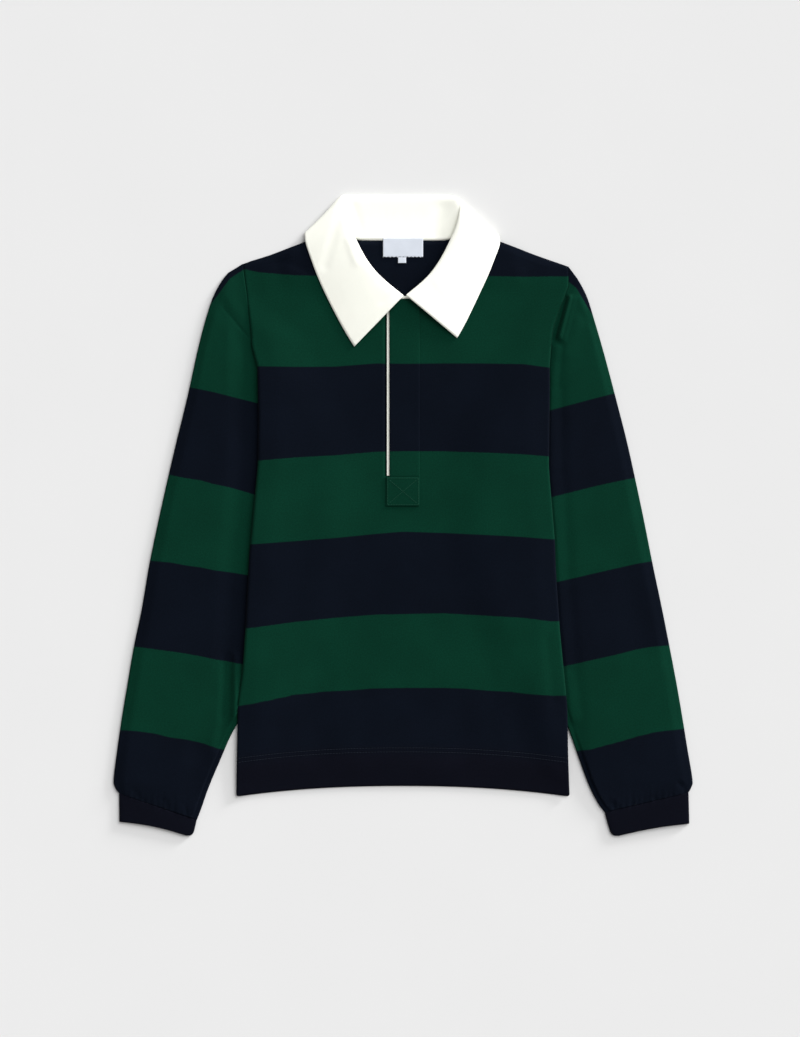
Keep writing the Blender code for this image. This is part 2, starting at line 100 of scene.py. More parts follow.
# Front opening
SLOT_LEFT = -20.3
SLOT_RIGHT = 16.0
SLOT_BOTTOM = 45.0
STRIP_LEFT = -15.1
STRIP_RIGHT = 18.5
STRIP_BOTTOM = 44.2
BOX_LEFT = -18.7
BOX_BOTTOM = 11.4
BOX_TOP = 43.9
LOWER_STRIP_TOP = 246.6
UPPER_STRIP_TOP = 243.6
SLIVER_INSET = 2.2
SLIVER_DROP = 0.45

# Back neck and labels
BACK_NECK_Y = 308.7
PANEL_TOP = 315.0
LABEL_HALF_WIDTH = 22.4
LABEL_TOP = 311.4
LABEL_BOTTOM = 290.4
TAB_LEFT = -5.6
TAB_RIGHT = 3.4
TAB_TOP = 289.9
TAB_BOTTOM = 283.6

# How the front's edge curls down round the back's, and at the armholes to the sleeve's end
CURL_RADIUS = 2.6
CURL_DROP = 1.15
BACK_INSET = 2.4
ARMHOLE_RIM = 2.2
ARMHOLE_ENDS = (196.2, 287.0)
ARMHOLE_RAMPS = (3.0, 3.0)
EDGE_STEPS = (0.0, 0.35, 0.95, 1.8, 3.0)

# Side edges of the body from the shoulder line down, as (y, x)
LEFT_SIDE = (
    (319, -76.8), (307.1, -109.8), (291.4, -152), (283.3, -178.8), (276.3, -178.6),
    (247.7, -174.7), (215.3, -171.4), (190.6, -169.1), (167.1, -162.9), (112, -161.6),
    (57.3, -162.5), (40.5, -164.1), (-43.5, -171.9), (-127.5, -176.4), (-161.1, -178.6),
    (-178, -180), (-195, -182.6), (-213, -184.8), (-261.9, -185.9), (-315, -187),
)
RIGHT_SIDE = (
    (319, 76.8), (307.1, 109.8), (291.4, 151.2), (279.4, 185.6), (257.8, 185.2),
    (235, 176.6), (210.8, 168.2), (194, 166), (168.2, 163.9), (141.3, 164.1),
    (57.3, 163), (40.5, 164.1), (-26.7, 169.7), (-60.3, 170.8), (-127.5, 175.3),
    (-161.1, 178.6), (-211.5, 183.7), (-261.9, 184.8), (-315, 187),
)

# Necklines, as (y, distance from the middle)
FRONT_NECK = ((315.6, 85.2), (304, 83.6), (290, 79.2), (275.5, 69.6), (262, 53.6),
              (253, 34), (248, 19))
BACK_NECK_SIDE = ((315.6, 83), (311.4, 64), (308.7, 46))

# Hidden inner fold of each sleeve, where it starts to lift the body, as (y, distance)
SLEEVE_FOLD = (
    (300, 240), (245, 222), (225, 200), (205, 176), (196, 168), (92, 116.5),
    (75, 111.5), (55, 108.5), (18, 106.5), (0, 107), (-25, 108.5), (-50, 113.5),
    (-80, 121.5), (-118, 133.5), (-152, 148.5), (-182, 162.5), (-212, 174),
    (-245, 192.6), (-271, 208), (-315, 232),
)

# Sleeve sections from the armhole to the wrist: outer x and y, x and y where each passes under
# the side of the body, inner x and y
LEFT_SLEEVE = (
    (-179.3, 283.2, -169.9, 196, -118, 92),
    (-196, 273, -166.6, 172, -113, 75),
    (-210.6, 251, -164.6, 148, -110, 55),
    (-221, 222, -164, 120, -108.5, 35),
    (-231, 183, -163.8, 92, -108, 18),
    (-242, 133, -163.4, 58, -108.5, 0),
    (-254, 84, -165.9, 22, -110, -25),
    (-264.5, 39, -169.2, -12, -115, -50),
    (-274.5, -6, -172.3, -44, -123, -80),
    (-284.5, -54, -174.5, -85, -135, -118),
    (-293, -104, -176.6, -125, -150, -152),
    (-302, -147, -179.2, -165, -164, -182),
    (-309, -188, -182, -208, -175.5, -214),
    (-315.5, -227, -198, -243.6, -192.6, -245),
    (-320.5, -262, -210, -270, -204, -271),
    (-324.6, -295, -223, -301, -217.5, -303),
    (-322.6, -305, -232, -326, -226.5, -328.5),
    (-318.9, -310.2, -236.8, -338.2, -231.2, -340.6),
)
RIGHT_SLEEVE = (
    (186.2, 279.2, 168.3, 196.5, 118, 92),
    (195.5, 266.5, 164.9, 172, 113, 75),
    (206, 246.5, 164.6, 148, 110, 55),
    (214.5, 220, 164.5, 120, 108.5, 35),
    (225.5, 182, 164.1, 92, 108, 18),
    (238.5, 133, 163.5, 58, 108.5, 0),
    (251, 84, 165.5, 22, 110, -25),
    (261, 39, 168.7, -12, 115, -50),
    (270.5, -6, 170.8, -44, 123, -80),
    (280, -54, 172.9, -85, 135, -118),
    (290.5, -104, 175.6, -125, 150, -152),
    (299, -147, 179.4, -165, 164, -182),
    (306.8, -188, 183.6, -207, 176, -214),
    (313.5, -227, 193, -242, 187.5, -244),
    (319, -261, 202, -267, 196, -268.5),
    (324.6, -295, 213.5, -299, 208, -301),
    (323.3, -304, 223.5, -319, 218, -321),
    (320.3, -309.6, 231.5, -330.4, 226, -332),
)

# Cuff sections from its seam to its end: outer x and y, inner x and y, bow up to the sleeve
LEFT_CUFF = (
    (-318.4, -310.8, -231.5, -341.2, 0),
    (-318.2, -327, -233.6, -350.6, 1.5),
    (-318.1, -342.5, -236.5, -360.3, 3),
)
RIGHT_CUFF = (
    (320.2, -310.2, 226.2, -332.5, 0),
    (320.6, -327, 229.6, -345.5, 1.5),
    (321, -344.6, 234.5, -360.2, 2),
)

CUFF_TUCK = 1.6
CUFF_TUCK_INSET = 1.4
CUFF_TUCK_FLATNESS = 0.35
CUFF_CORNER = 6.5
CUFF_PUFF = 0.9
CUFF_SEAM_DENT = 0.25
CUFF_SEAM_RINGS = 8.0

# Gathers on both sides of the cuff's seam
GATHER_REACH = 14.0
GATHER_FLATNESS = 0.6
GATHER_HEIGHT = 0.28

# Collar sections: neck seam x, y, z; roll x, y, z; outer edge x, y; the height of its edge,
# None where it lies on the front; and the turn, 1 where the neck side lies on top
COLLAR_BACK_MIDDLE = ((0, 309.1, 2.9), (0, 360.8, 3), (0, 298), 0.75, 1)
COLLAR_LEFT = (
    ((-24, 309.1, 2.9), (-31, 360.8, 3), (-46, 298), 0.75, 1),
    ((-46, 309.2, 2.9), (-56, 361, 3.1), (-84, 299), 0.75, 0.95),
    ((-62.5, 312.4, 3.1), (-66.6, 361.2, 3.7), (-104, 304), 0.85, 0.7),
    ((-75, 315.6, 3.1), (-69.4, 358.8, 4.1), (-108.4, 312.6), 1.3, 0.4),
    ((-84.6, 317.2, 4.3), (-67.2, 353.4, 6.4), (-110.2, 320.8), 3.9, 0),
    ((-84, 313.4, 5.5), (-63.2, 342, 8.6), (-110, 307.6), 6.7, -0.5),
    ((-82.2, 304, 5.8), (-59.6, 326, 9.2), (-105.8, 296), None, -0.9),
    ((-77.6, 290, 5.5), (-51.2, 308, 9), (-98, 273), None, -1),
    ((-68, 276, 5.5), (-41.6, 288.5, 9), (-87.5, 249.5), None, -1),
    ((-52.2, 263, 5.5), (-27.6, 270.5, 8.6), (-75.5, 225.6), None, -1),
    ((-33, 254.4, 5.5), (-11, 256.6, 8.4), (-64, 204.6), None, -1),
    ((-15, 249.8, 5.5), (1, 246.8, 8.9), (-54.6, 190), None, -1),
)
COLLAR_RIGHT = (
    ((24, 309.1, 2.9), (28, 360.8, 3), (46, 298), 0.75, 1),
    ((46, 309.2, 3.1), (51, 361, 3.2), (82, 299), 0.75, 0.95),
    ((62.5, 312.4, 4.8), (60.6, 357.8, 4.6), (100, 304), 0.85, 0.7),
    ((75, 315.6, 4.2), (65, 353.2, 4.9), (104.4, 312.6), 1.2, 0.4),
    ((84.6, 317.2, 4.3), (64.4, 347.6, 6.4), (105.6, 317.8), 3.9, 0),
    ((84, 313.4, 5.5), (61.8, 336.4, 8.6), (110, 306.4), 6.7, -0.5),
    ((82.2, 304, 5.8), (58.8, 324, 9.2), (104.6, 294), None, -0.9),
    ((77.6, 290, 5.5), (51, 306.5, 9), (97, 273), None, -1),
    ((68, 276, 5.5), (41.8, 288, 9), (88, 254), None, -1),
    ((52.2, 263, 5.5), (28.6, 269, 9), (79.5, 236), None, -1),
    ((33, 254.4, 5.5), (13.4, 256, 8.9), (70.5, 217), None, -1),
    ((18, 249.8, 5.5), (2.8, 247.4, 8.9), (60.6, 199.6), None, -1),
)
ROLL_RADIUS = 2.0
BACK_ROLL_RADIUS = 1.4
SIDE_ROLL_EXTRA = 1.5
BACK_STAND_SAG = 0.9
ROLL_REACH = 3.0
FALL_CROWN = 0.6
FALL_SHARES = (0.33, 0.68)
FALL_GAP = 1.5 * SEAM_GAP
STRIP_MARGIN = 4.0

# Largest folds of the upper layers, which the solids have too: start x and y, end x and y,
# half width, height
FOLDS = (
    (-202.7, 235.4, -172.5, 197.3, 9, -0.9),
    (-191.5, -165.5, -227.4, -264.1, 12, -1),
    (-227.4, -264.1, -234, -312, 11, -0.9),
    (176, 197, 177, 119, 8, 0.6),
    (250, -60, 268, -150, 14, -0.7),
    (-137.8, 286.9, -103, 274.6, 8, -0.5),
    (-92, -175, -96, -262, 13, -0.6),
    (62, -180, 64, -262, 13, -0.5),
    (130, -150, 135, -262, 13, -0.6),
    (163, -139, 170, -206, 5, -1.1),
)

# Folds of the sleeves close beside the body, in the same columns
SLEEVE_FOLDS = (
    (186.6, 245, 175, 201, 2.2, 2.9),
    (190.4, 244, 178.6, 199, 3.4, 1.5),
    (196, 242, 181.5, 184, 8, 1.2),
    (181.4, 245, 168.8, 199, 2, -2.2),
    (171.6, 189, 168.2, 150, 4.2, 1.7),
    (168, 138, 168.2, 55, 6, 1.6),
    (169, 40, 174, -55, 7, 1.6),
    (175, -70, 183, -165, 7, 1.5),
    (184.5, -180, 191, -225, 6, 1.3),
    (200, 228, 212, 216, 4, -0.6),
    (-195.6, -160, -198.2, -222, 5, -3),
    (-198.6, -222, -207, -258, 4.5, -1.4),
    (-188, -158, -187.2, -230, 4, 3.2),
    (-195, 243, -172, 211, 5, 0.3),
    (-201, 233, -174, 201, 1.3, -0.45),
    (234, -321, 243.5, -337, 2.4, -1.2),
    (241, -319, 249, -333, 2.6, 0.5),
    (280.5, -315, 289, -324.5, 2.2, -0.9),
    (311, -300, 319, -312, 2.4, -0.9),
    (-300, -309, -291, -320, 2.4, -0.6),
    (-268, -318, -262, -329, 2.2, -0.7),
    (-246, -322, -241, -334, 2.2, -0.5),
)

# Finer creases of the upper layers, in the same columns
CREASES = (
    (-196, 242, -176, 214, 3, 0.2),
    (-196, 214, -196, 148, 5, 0.3),
    (-137.5, 287, -106, 274.5, 2.4, -0.6),
    (-128, 280, -98, 268, 4.5, 0.25),
    (195, 226, 206, 214, 3.5, -0.3),
    (309, -299, 316, -310, 3, -0.45),
    (-150, -120, -158, -200, 7, -0.3),
    (-40, -205, -44, -258, 8, -0.25),
    (20, -215, 18, -258, 9, -0.22),
    (100, -200, 102, -258, 8, -0.25),
)

# Creases of the collar's leaves, in the same columns, and the height over which they act
LEAF_CREASES = (
    (-66, 353, -87.4, 280.2, 4.5, -0.5),
    (-61.6, 308.2, -52.6, 283.6, 3.2, 0.45),
    (-23.5, 238.8, -7.8, 249.4, 2.6, -0.4),
    (94, 292, 84, 262, 4.5, -0.3),
    (40, 262, 60, 236, 6, 0.25),
)
LEAF_LEVEL = 6.0
LEAF_LEVEL_RAMP = 1.5

# Creases of the back stand beside the rolls, in the same columns
STAND_CREASES = (
    (-57, 352, -47, 314, 4.5, -0.5),
    (47, 354, 34, 316, 7, -0.75),
)

# Where the stand's creases act: its upper layer, inside a left, a bottom and a top edge
STAND_LEVEL = 1.7
STAND_LEVEL_RAMP = 0.6
STAND_LEFT = -62.0
STAND_LEFT_RAMP = 6.0
STAND_ENDS = (309.0, 354.0)
STAND_RAMPS = (5.0, 8.0)

# Stripe edges as y at each x station, from the top: odd ones end navy, even ones end green
BODY_STATIONS = (-176, -160, -120, -75, -30, 0, 45, 90, 135, 165)
BODY_STRIPES = (
    (276.2, 273, 269.5, 268.7, 268.7, 268.7, 268.7, 268.7, 268, 268.5),
    (167.5, 167.5, 167, 167.5, 171, 170.5, 171, 171, 170, 166),
    (61, 62, 65.5, 68, 72, 72.5, 72.5, 71, 69, 66.5),
    (-32, -31, -28, -24.5, -20, -17.5, -19, -21, -23.5, -26),
    (-126, -124, -118.5, -114, -110.5, -110, -109, -111.5, -114, -118),
    (-211, -208, -199.5, -195.5, -193, -192, -192, -194.5, -198, -201),
)
BACK_FIRST_STRIPE = 236.5
SLEEVE_STATIONS = (170, 194, 211, 227, 244, 261, 278, 295, 320)
LEFT_STRIPES = (
    (282, 266, 243, 225, 225, 225, 225, 225, 225),
    (128, 134, 138.5, 142, 145.5, 149, 152, 155, 158),
    (25, 32, 35.5, 40, 42.5, 46, 49, 52, 55),
    (-67, -63, -60.8, -57.5, -55.2, -52, -50.5, -49, -48),
    (-168, -163.5, -160.5, -157, -154, -151.5, -149.3, -147, -145.5),
    (-270, -264, -259, -253.5, -250, -247.5, -243.5, -241, -239.5),
)
RIGHT_STRIPES = (
    (275, 256, 227, 222, 222, 222, 222, 222, 222),
    (119.5, 126, 130.8, 135, 139.3, 143.5, 147.5, 151, 155),
    (22, 28, 32.3, 36, 39.5, 43, 46, 49, 52),
    (-74.5, -69, -65, -61.3, -57.5, -53.6, -50.8, -49, -48),
    (-170.5, -165.5, -161.5, -158, -154, -149.6, -146.6, -145.2, -144.6),
    (-266, -263.2, -261, -256.6, -252.2, -247, -242.8, -240, -238),
)
STRIPE_RUN = 100.0
ARMHOLE_GAP = 0.4

# How far from the hem rows the seam map still counts, and what it is divided by in the map
SEAM_NEUTRAL = 20.0
SEAM_SCALE = 100.0

# How finely the shells are cut
BODY_STOPS = (HEM_MIDDLE, HEM_CURVE_TOP, SLOT_BOTTOM, 167.0, 247.9, 262.0, 279.4, BACK_NECK_Y,
              PANEL_TOP)
FRONT_STEP = 3.3
FRONT_COLUMNS = (46, 8)
BACK_STEP = 6.0
BACK_COLUMNS = (26, 16)
LEAST_COLUMN = 0.05
SAME_HEIGHT = 0.01
SLOPE_REACH = 1.5
SLOPE_MOST = 3.0
SLEEVE_STEPS = 12
SHOWN_COLUMNS = 52
HIDDEN_COLUMNS = 8
CUFF_STEPS = 10
CUFF_COLUMNS = 34
ARC_POINTS = 5
UNDER_STEP = 3
UNDERSIDE = 0.05
RIM_LINES = (0.5, 1.3)
RIM_START = 0.35
RIM_WIDTH = 2.0

# Stitches: length and gap, thread radius, and where the rows run
HEM_STITCH = (2.6, 0.7)
HEM_THREAD = 0.32
HEM_ROW_END = 184.5
HEM_ROW_POINTS = 120
BOX_STITCH = (2.2, 0.6)
BOX_THREAD = 0.28
BOX_ROW_INSET = 1.4
CROSS_INSET = 2.0
THREAD_PROFILE = ((0.0, 0.3), (0.22, 0.95), (0.5, 1.0), (0.78, 0.95), (1.0, 0.3))
THREAD_SIDES = 6
THREAD_RISE = 0.25
THREAD_FLATNESS = 0.7

# Threads of each cloth for each millimetre
WALES = 1.05
COURSES = 1.35
TWILL_LINES = 1.1
TWILL_SLANT = 0.8
PICKS = 2.2
SATIN_RIBS = 2.0

# Camera and light
PIXEL = 1.12
PHOTO_HEIGHT = 1037
CAMERA_AIM = (-3.4, -2.6)
CAMERA_LENS = 85.0
CAMERA_SENSOR = 36.0
CLOTH_LEVEL = 5.0
FILL_STRENGTH = 0.41
LIGHT_TURN = 42.0
KEY_STRENGTH = 3.1
KEY_SOFTNESS = 60.0
KEY_RISE = 38.0
SKIM_STRENGTH = 3.6
SKIM_SOFTNESS = 10.0
SKIM_RISE = 8.6
FLOOR_HALF = 6000.0
FLOOR_GREY = 0.705

GREEN = (0.0016, 0.0280, 0.0155)
NAVY = (0.0025, 0.0042, 0.0086)
HEM_NAVY = (0.0031, 0.0036, 0.0074)
THREAD_NAVY = (0.009, 0.013, 0.022)
THREAD_GREEN = (0.006, 0.045, 0.027)
TWILL_WHITE = (0.95, 0.955, 0.868)
LABEL_GREY = (0.60, 0.64, 0.71)


# Heights and outlines of the layers

def smooth(t):
    """Ease from 0 to 1 as t runs from 0 to 1."""
    t = np.clip(t, 0.0, 1.0)
    return t * t * (3.0 - 2.0 * t)


def within(value, ends, ramps):
    """1 between two ends, falling to 0 at each of them over its ramp."""
    return smooth((value - ends[0]) / ramps[0]) * smooth((ends[1] - value) / ramps[1])


def read(table, y):
    """Second column of a table at the heights y; the first column runs downward."""
    rising = np.array(table)[::-1]
    return np.interp(y, rising[:, 0], rising[:, 1])


def fold_height(x, y, folds=FOLDS + CREASES):
    """Sum of the soft folds at points."""
    total = np.zeros(np.broadcast(x, y).shape)
    for x0, y0, x1, y1, half_width, height in folds:
        run_x = x1 - x0
        run_y = y1 - y0
        t = np.clip(((x - x0) * run_x + (y - y0) * run_y) / (run_x ** 2 + run_y ** 2), 0.0, 1.0)
        distance = np.hypot(x - x0 - run_x * t, y - y0 - run_y * t)
        total = total + height * smooth(1.0 - distance / (2.0 * half_width))
    return total


def side_distance(x, y):
    """Distance in from the nearer side of the body, along the row."""
    return np.minimum(x - read(LEFT_SIDE, y), read(RIGHT_SIDE, y) - x)


def edge_distance(x, y):
    """Distance in from the nearest side or hem of the body."""
    return np.minimum(side_distance(x, y), y - HEM_MIDDLE)


def body_lift(x, y, run=BODY_RAMP):
    """Height of the back's underside over the floor, rising over a run to the sleeves."""
    past_fold = np.abs(x) - read(SLEEVE_FOLD, y) + BODY_RAMP_MARGIN
    over_sleeve = (SLEEVE_FLAT + SEAM_GAP) * smooth(1.0 + past_fold / run)
    neck_ramp = smooth((y - FALL_SPACE_BOTTOM) / (FALL_SPACE_TOP - FALL_SPACE_BOTTOM))
    side_ramp = smooth((FALL_SPACE_SIDE - np.abs(x)) / FALL_SPACE_SIDE_RAMP)
    return over_sleeve + FALL_SPACE * neck_ramp * side_ramp


def back_height(x, y):
    """Middle of the back's cloth."""
    return body_lift(x, y) + CLOTH / 2


def left_rise(x, y):
    """How much fuller the front lies along its left side."""
    near = smooth(1.0 - (x - read(LEFT_SIDE, y)) / LEFT_RISE_WIDTH)
    return LEFT_RISE * near * within(y, LEFT_RISE_ENDS, LEFT_RISE_RAMPS)


def front_height(x, y):
    """Middle of the front's cloth."""
    inside = smooth(edge_distance(x, y) / BODY_PUFF_WIDTH)
    under = body_lift(x, y, FRONT_RAMP) + 1.5 * CLOTH + SEAM_GAP + left_rise(x, y)
    return under + (BODY_PUFF + fold_height(x, y)) * inside


def placket_height(x, y):
    """Middle of a strip that lies on the front."""
    return front_height(x, y) + CLOTH + SEAM_GAP


def under_strip_height(x, y):
    """Middle of the white strip in the slot, a little below the front."""
    return front_height(x, y) - SLIVER_DROP


def label_height(x, y):
    """Middle of a label that lies on the back's inner face."""
    return back_height(x, np.minimum(y, BACK_NECK_Y)) + (CLOTH + LABEL_CLOTH) / 2 + SEAM_GAP


def hem_line(x):
    """Height of the hem's edge."""
    return HEM_MIDDLE - HEM_DROP * np.minimum(np.abs(x) / HEM_HALF_WIDTH, 1.0) ** HEM_CURVE_POWER


def hem_curve(x, y):
    """Row height bent down toward the sides near the hem."""
    share = np.clip((HEM_CURVE_TOP - y) / (HEM_CURVE_TOP - HEM_MIDDLE), 0.0, 1.0)
    past = np.clip(HEM_CORNER - side_distance(x, y), 0.0, HEM_CORNER)
    rise = HEM_CORNER - np.sqrt(HEM_CORNER ** 2 - past ** 2)
    near = np.clip(1.0 - (y - HEM_MIDDLE) / HEM_CORNER_REACH, 0.0, 1.0)
    return y + (hem_line(x) - HEM_MIDDLE) * share + rise * near


def side_slope(table, y):
    """How much longer a level line across a slanted edge is than the square one."""
    slope = (read(table, y + SLOPE_REACH) - read(table, y - SLOPE_REACH)) / (2 * SLOPE_REACH)
    return np.minimum(np.sqrt(1.0 + slope ** 2), SLOPE_MOST)


def stripe_value(x, y, stations, stripes):
    """Runs through 1 to 6 at the stripe edges from the top down."""
    edges = []
    for row in stripes:
        before = (row[1] - row[0]) / (stations[1] - stations[0]) * np.minimum(x - stations[0], 0.0)
        edges.append(np.interp(x, stations, row) + before)
    value = 1.0 - (y - edges[0]) / STRIPE_RUN
    for number, (upper, lower) in enumerate(zip(edges, edges[1:]), start=1):
        inside = number + (upper - y) / (upper - lower)
        value = np.where(y < upper, inside, value)
    return np.where(y < edges[-1], len(stripes) + (edges[-1] - y) / (2 * STRIPE_RUN), value)


# Mesh helpers

def add_object(name, data):
    """Object in the scene, at the origin."""
    item = bpy.data.objects.new(name, data)
    bpy.context.scene.collection.objects.link(item)
    return item


def new_piece(name, vertices, faces):
    """Smooth mesh object in the scene, from points in millimetres."""
    mesh = bpy.data.meshes.new(name)
    mesh.from_pydata((np.array(vertices) * MM).tolist(), [], faces)
    mesh.update()
    mesh.shade_smooth()
    return add_object(name, mesh)


def apply_modifiers(item):
    """Turn the item's modifiers into its mesh."""
    for other in bpy.context.selected_objects:
        other.select_set(False)
    bpy.context.view_layer.objects.active = item
    item.select_set(True)
    for modifier in list(item.modifiers):
        bpy.ops.object.modifier_apply(modifier=modifier.name)


def add_map(item, name, values):
    """UV map from one pair of values for each vertex."""
    mesh = item.data
    corner_vertices = np.empty(len(mesh.loops), dtype=np.int32)
    mesh.loops.foreach_get("vertex_index", corner_vertices)
    layer = mesh.uv_layers.new(name=name)
    layer.uv.foreach_set("vector", np.asarray(values, dtype=np.float32)[corner_vertices].ravel())


def thicken(item, thickness, offset=0.0):
    """Give an open sheet its thickness, half to each side, or all inward at offset -1."""
    wall = item.modifiers.new("wall", "SOLIDIFY")
    wall.thickness = thickness * MM
    wall.offset = offset
    wall.use_even_offset = False
    apply_modifiers(item)
    return item


def grid_faces(rows, columns, skip=None):
    """Cells of a grid of rows and columns, less those that skip marks."""
    faces = []
    for r in range(rows - 1):
        for c in range(columns - 1):
            if skip is None or not skip[r, c]:
                low = r * columns + c
                faces.append((low, low + 1, low + columns + 1, low + columns))
    return faces


def used_only(points, faces, *extras):
    """Points that some face uses, with the faces and extras to match."""
    used = np.unique(np.array(faces))
    place = np.full(len(points), -1)
    place[used] = np.arange(len(used))
    return points[used], place[np.array(faces)].tolist(), [extra[used] for extra in extras]


def stripe_columns(value, seam=SEAM_NEUTRAL):
    """Two columns of the stripe map: the stripe value and the place beside the hem rows."""
    return np.stack((value, np.broadcast_to(seam / SEAM_SCALE, value.shape)), axis=1)


def spread(start, end, count):
    """Even values from start to end, count steps."""
    return np.linspace(start, end, count + 1)


def finish_piece(item, material, node):
    """Give a cloth piece its material, hang it on the root empty and hide the imported part it
    stands for.
    """
    item.data.materials.append(material)
    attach(item, "root")
    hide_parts(node)


# Shader helpers

def add_node(tree, kind, values=None, **settings):
    """Node with its settings and its inputs, each a value or another node's output."""
    node = tree.nodes.new(kind)
    for key, value in settings.items():
        setattr(node, key, value)
    for socket, value in (values or {}).items():
        if isinstance(value, bpy.types.NodeSocket):
            tree.links.new(value, node.inputs[socket])
        else:
            node.inputs[socket].default_value = value
    return node


def calculate(tree, operation, first, second=0.0, third=0.0):
    """Output of one math node."""
    return add_node(tree, "ShaderNodeMath", {0: first, 1: second, 2: third},
                    operation=operation).outputs[0]


def ramp(tree, value, low, high, start=0.0, end=1.0):
    """Output of a smooth map from low..high to start..end."""
    return add_node(tree, "ShaderNodeMapRange",
                    {0: value, 1: low, 2: high, 3: start, 4: end},
                    interpolation_type="SMOOTHSTEP").outputs[0]


def noise(tree, vector, scale, detail=2.0, roughness=0.5):
    """Grey output of a noise texture."""
    return add_node(tree, "ShaderNodeTexNoise",
                    {"Vector": vector, "Scale": scale, "Detail": detail,
                     "Roughness": roughness}).outputs["Fac"]


def peak(tree, value, centre, half_width):
    """1 at centre, falling to 0 at half_width to each side."""
    away = calculate(tree, "ABSOLUTE", calculate(tree, "SUBTRACT", value, centre))
    return ramp(tree, away, 0.0, half_width, 1.0, 0.0)


def new_group(name, outputs):
    """Node group from cloth coordinates in millimetres to grey outputs."""
    group = bpy.data.node_groups.new(name, "ShaderNodeTree")
    group.interface.new_socket("Cloth", in_out="INPUT", socket_type="NodeSocketVector")
    for label in outputs:
        group.interface.new_socket(label, in_out="OUTPUT", socket_type="NodeSocketFloat")
    cloth = group.nodes.new("NodeGroupInput").outputs["Cloth"]
    return group, cloth, group.nodes.new("NodeGroupOutput")


def waves(tree, value, rate):
    """Sine of a length at a number of waves for each millimetre."""
    return calculate(tree, "SINE", calculate(tree, "MULTIPLY", value, math.tau * rate))


def make_knit_group():
    """Jersey stitches, fibre flecks and slow drift of the dye."""
    group, cloth, result = new_group("jersey_knit", ("Height", "Fleck", "Drift"))
    parts = add_node(group, "ShaderNodeSeparateXYZ", {0: cloth})
    wale = calculate(group, "MULTIPLY", parts.outputs["X"], WALES)
    across = calculate(group, "PINGPONG", wale, 0.5)
    lean = calculate(group, "MULTIPLY", across, 0.9)
    course = calculate(group, "ADD", calculate(group, "MULTIPLY", parts.outputs["Y"], COURSES),
                       lean)
    loops = waves(group, course, 1.0)
    ribs = waves(group, across, 1.0)
    stitch = calculate(group, "MULTIPLY_ADD", loops, 0.35, ribs)
    fibre = noise(group, cloth, 1.3, 3.0, 0.6)
    height = calculate(group, "MULTIPLY_ADD", fibre, 0.9, calculate(group, "MULTIPLY", stitch, 0.3))
    fine = ramp(group, noise(group, cloth, 0.62, 3.0, 0.7), 0.34, 0.68)
    wide = noise(group, cloth, 0.016, 3.0, 0.5)
    for label, value in (("Height", height), ("Fleck", fine), ("Drift", wide)):
        group.links.new(value, result.inputs[label])
    return group


def make_twill_group():
    """Steep diagonal twill lines with slubs."""
    group, cloth, result = new_group("twill_weave", ("Height", "Shade"))
    parts = add_node(group, "ShaderNodeSeparateXYZ", {0: cloth})
    slant = calculate(group, "MULTIPLY_ADD", parts.outputs["Y"], TWILL_SLANT, parts.outputs["X"])
    lines = waves(group, slant, TWILL_LINES)
    yarn = waves(group, parts.outputs["Y"], PICKS)
    weave = calculate(group, "MULTIPLY_ADD", yarn, 0.4, lines)
    slub = noise(group, cloth, 0.9, 2.0, 0.5)
    height = calculate(group, "MULTIPLY_ADD", slub, 0.8, calculate(group, "MULTIPLY", weave, 0.35))
    group.links.new(height, result.inputs["Height"])
    group.links.new(noise(group, cloth, 0.05, 3.0, 0.55), result.inputs["Shade"])
    return group


def new_material(name):
    """Material with its tree."""
    material = bpy.data.materials.new(name)
    material.use_nodes = True
    return material, material.node_tree


def scaled(tree, vector, amount):
    """Colour or place times a grey amount."""
    return add_node(tree, "ShaderNodeVectorMath", {0: vector, "Scale": amount},
                    operation="SCALE").outputs[0]


def mixed(tree, amount, first, second):
    """Colour between two, by a grey amount."""
    return add_node(tree, "ShaderNodeMix", {0: amount, 6: first, 7: second},
                    data_type="RGBA").outputs[2]


def cloth_place(tree):
    """Cloth coordinates in millimetres."""
    return scaled(tree, add_node(tree, "ShaderNodeUVMap", uv_map="cloth").outputs[0], 1000.0)


def object_place(tree):
    """Coordinates of the object, in metres."""
    return add_node(tree, "ShaderNodeTexCoord").outputs["Object"]


def set_surface(material, colour, roughness, specular, bump=None, sheen=0.0):
    """Colour, shine and nap of a material, and its bump's height, strength and distance."""
    tree = material.node_tree
    shader = tree.nodes["Principled BSDF"]
    tree.links.new(colour, shader.inputs["Base Color"])
    for label, value in (("Roughness", roughness), ("Specular IOR Level", specular),
                         ("Sheen Weight", sheen)):
        shader.inputs[label].default_value = value
    if bump:
        values = dict(zip(("Height", "Strength", "Distance"), bump))
        relief = add_node(tree, "ShaderNodeBump", values)
        tree.links.new(relief.outputs[0], shader.inputs["Normal"])
    return material


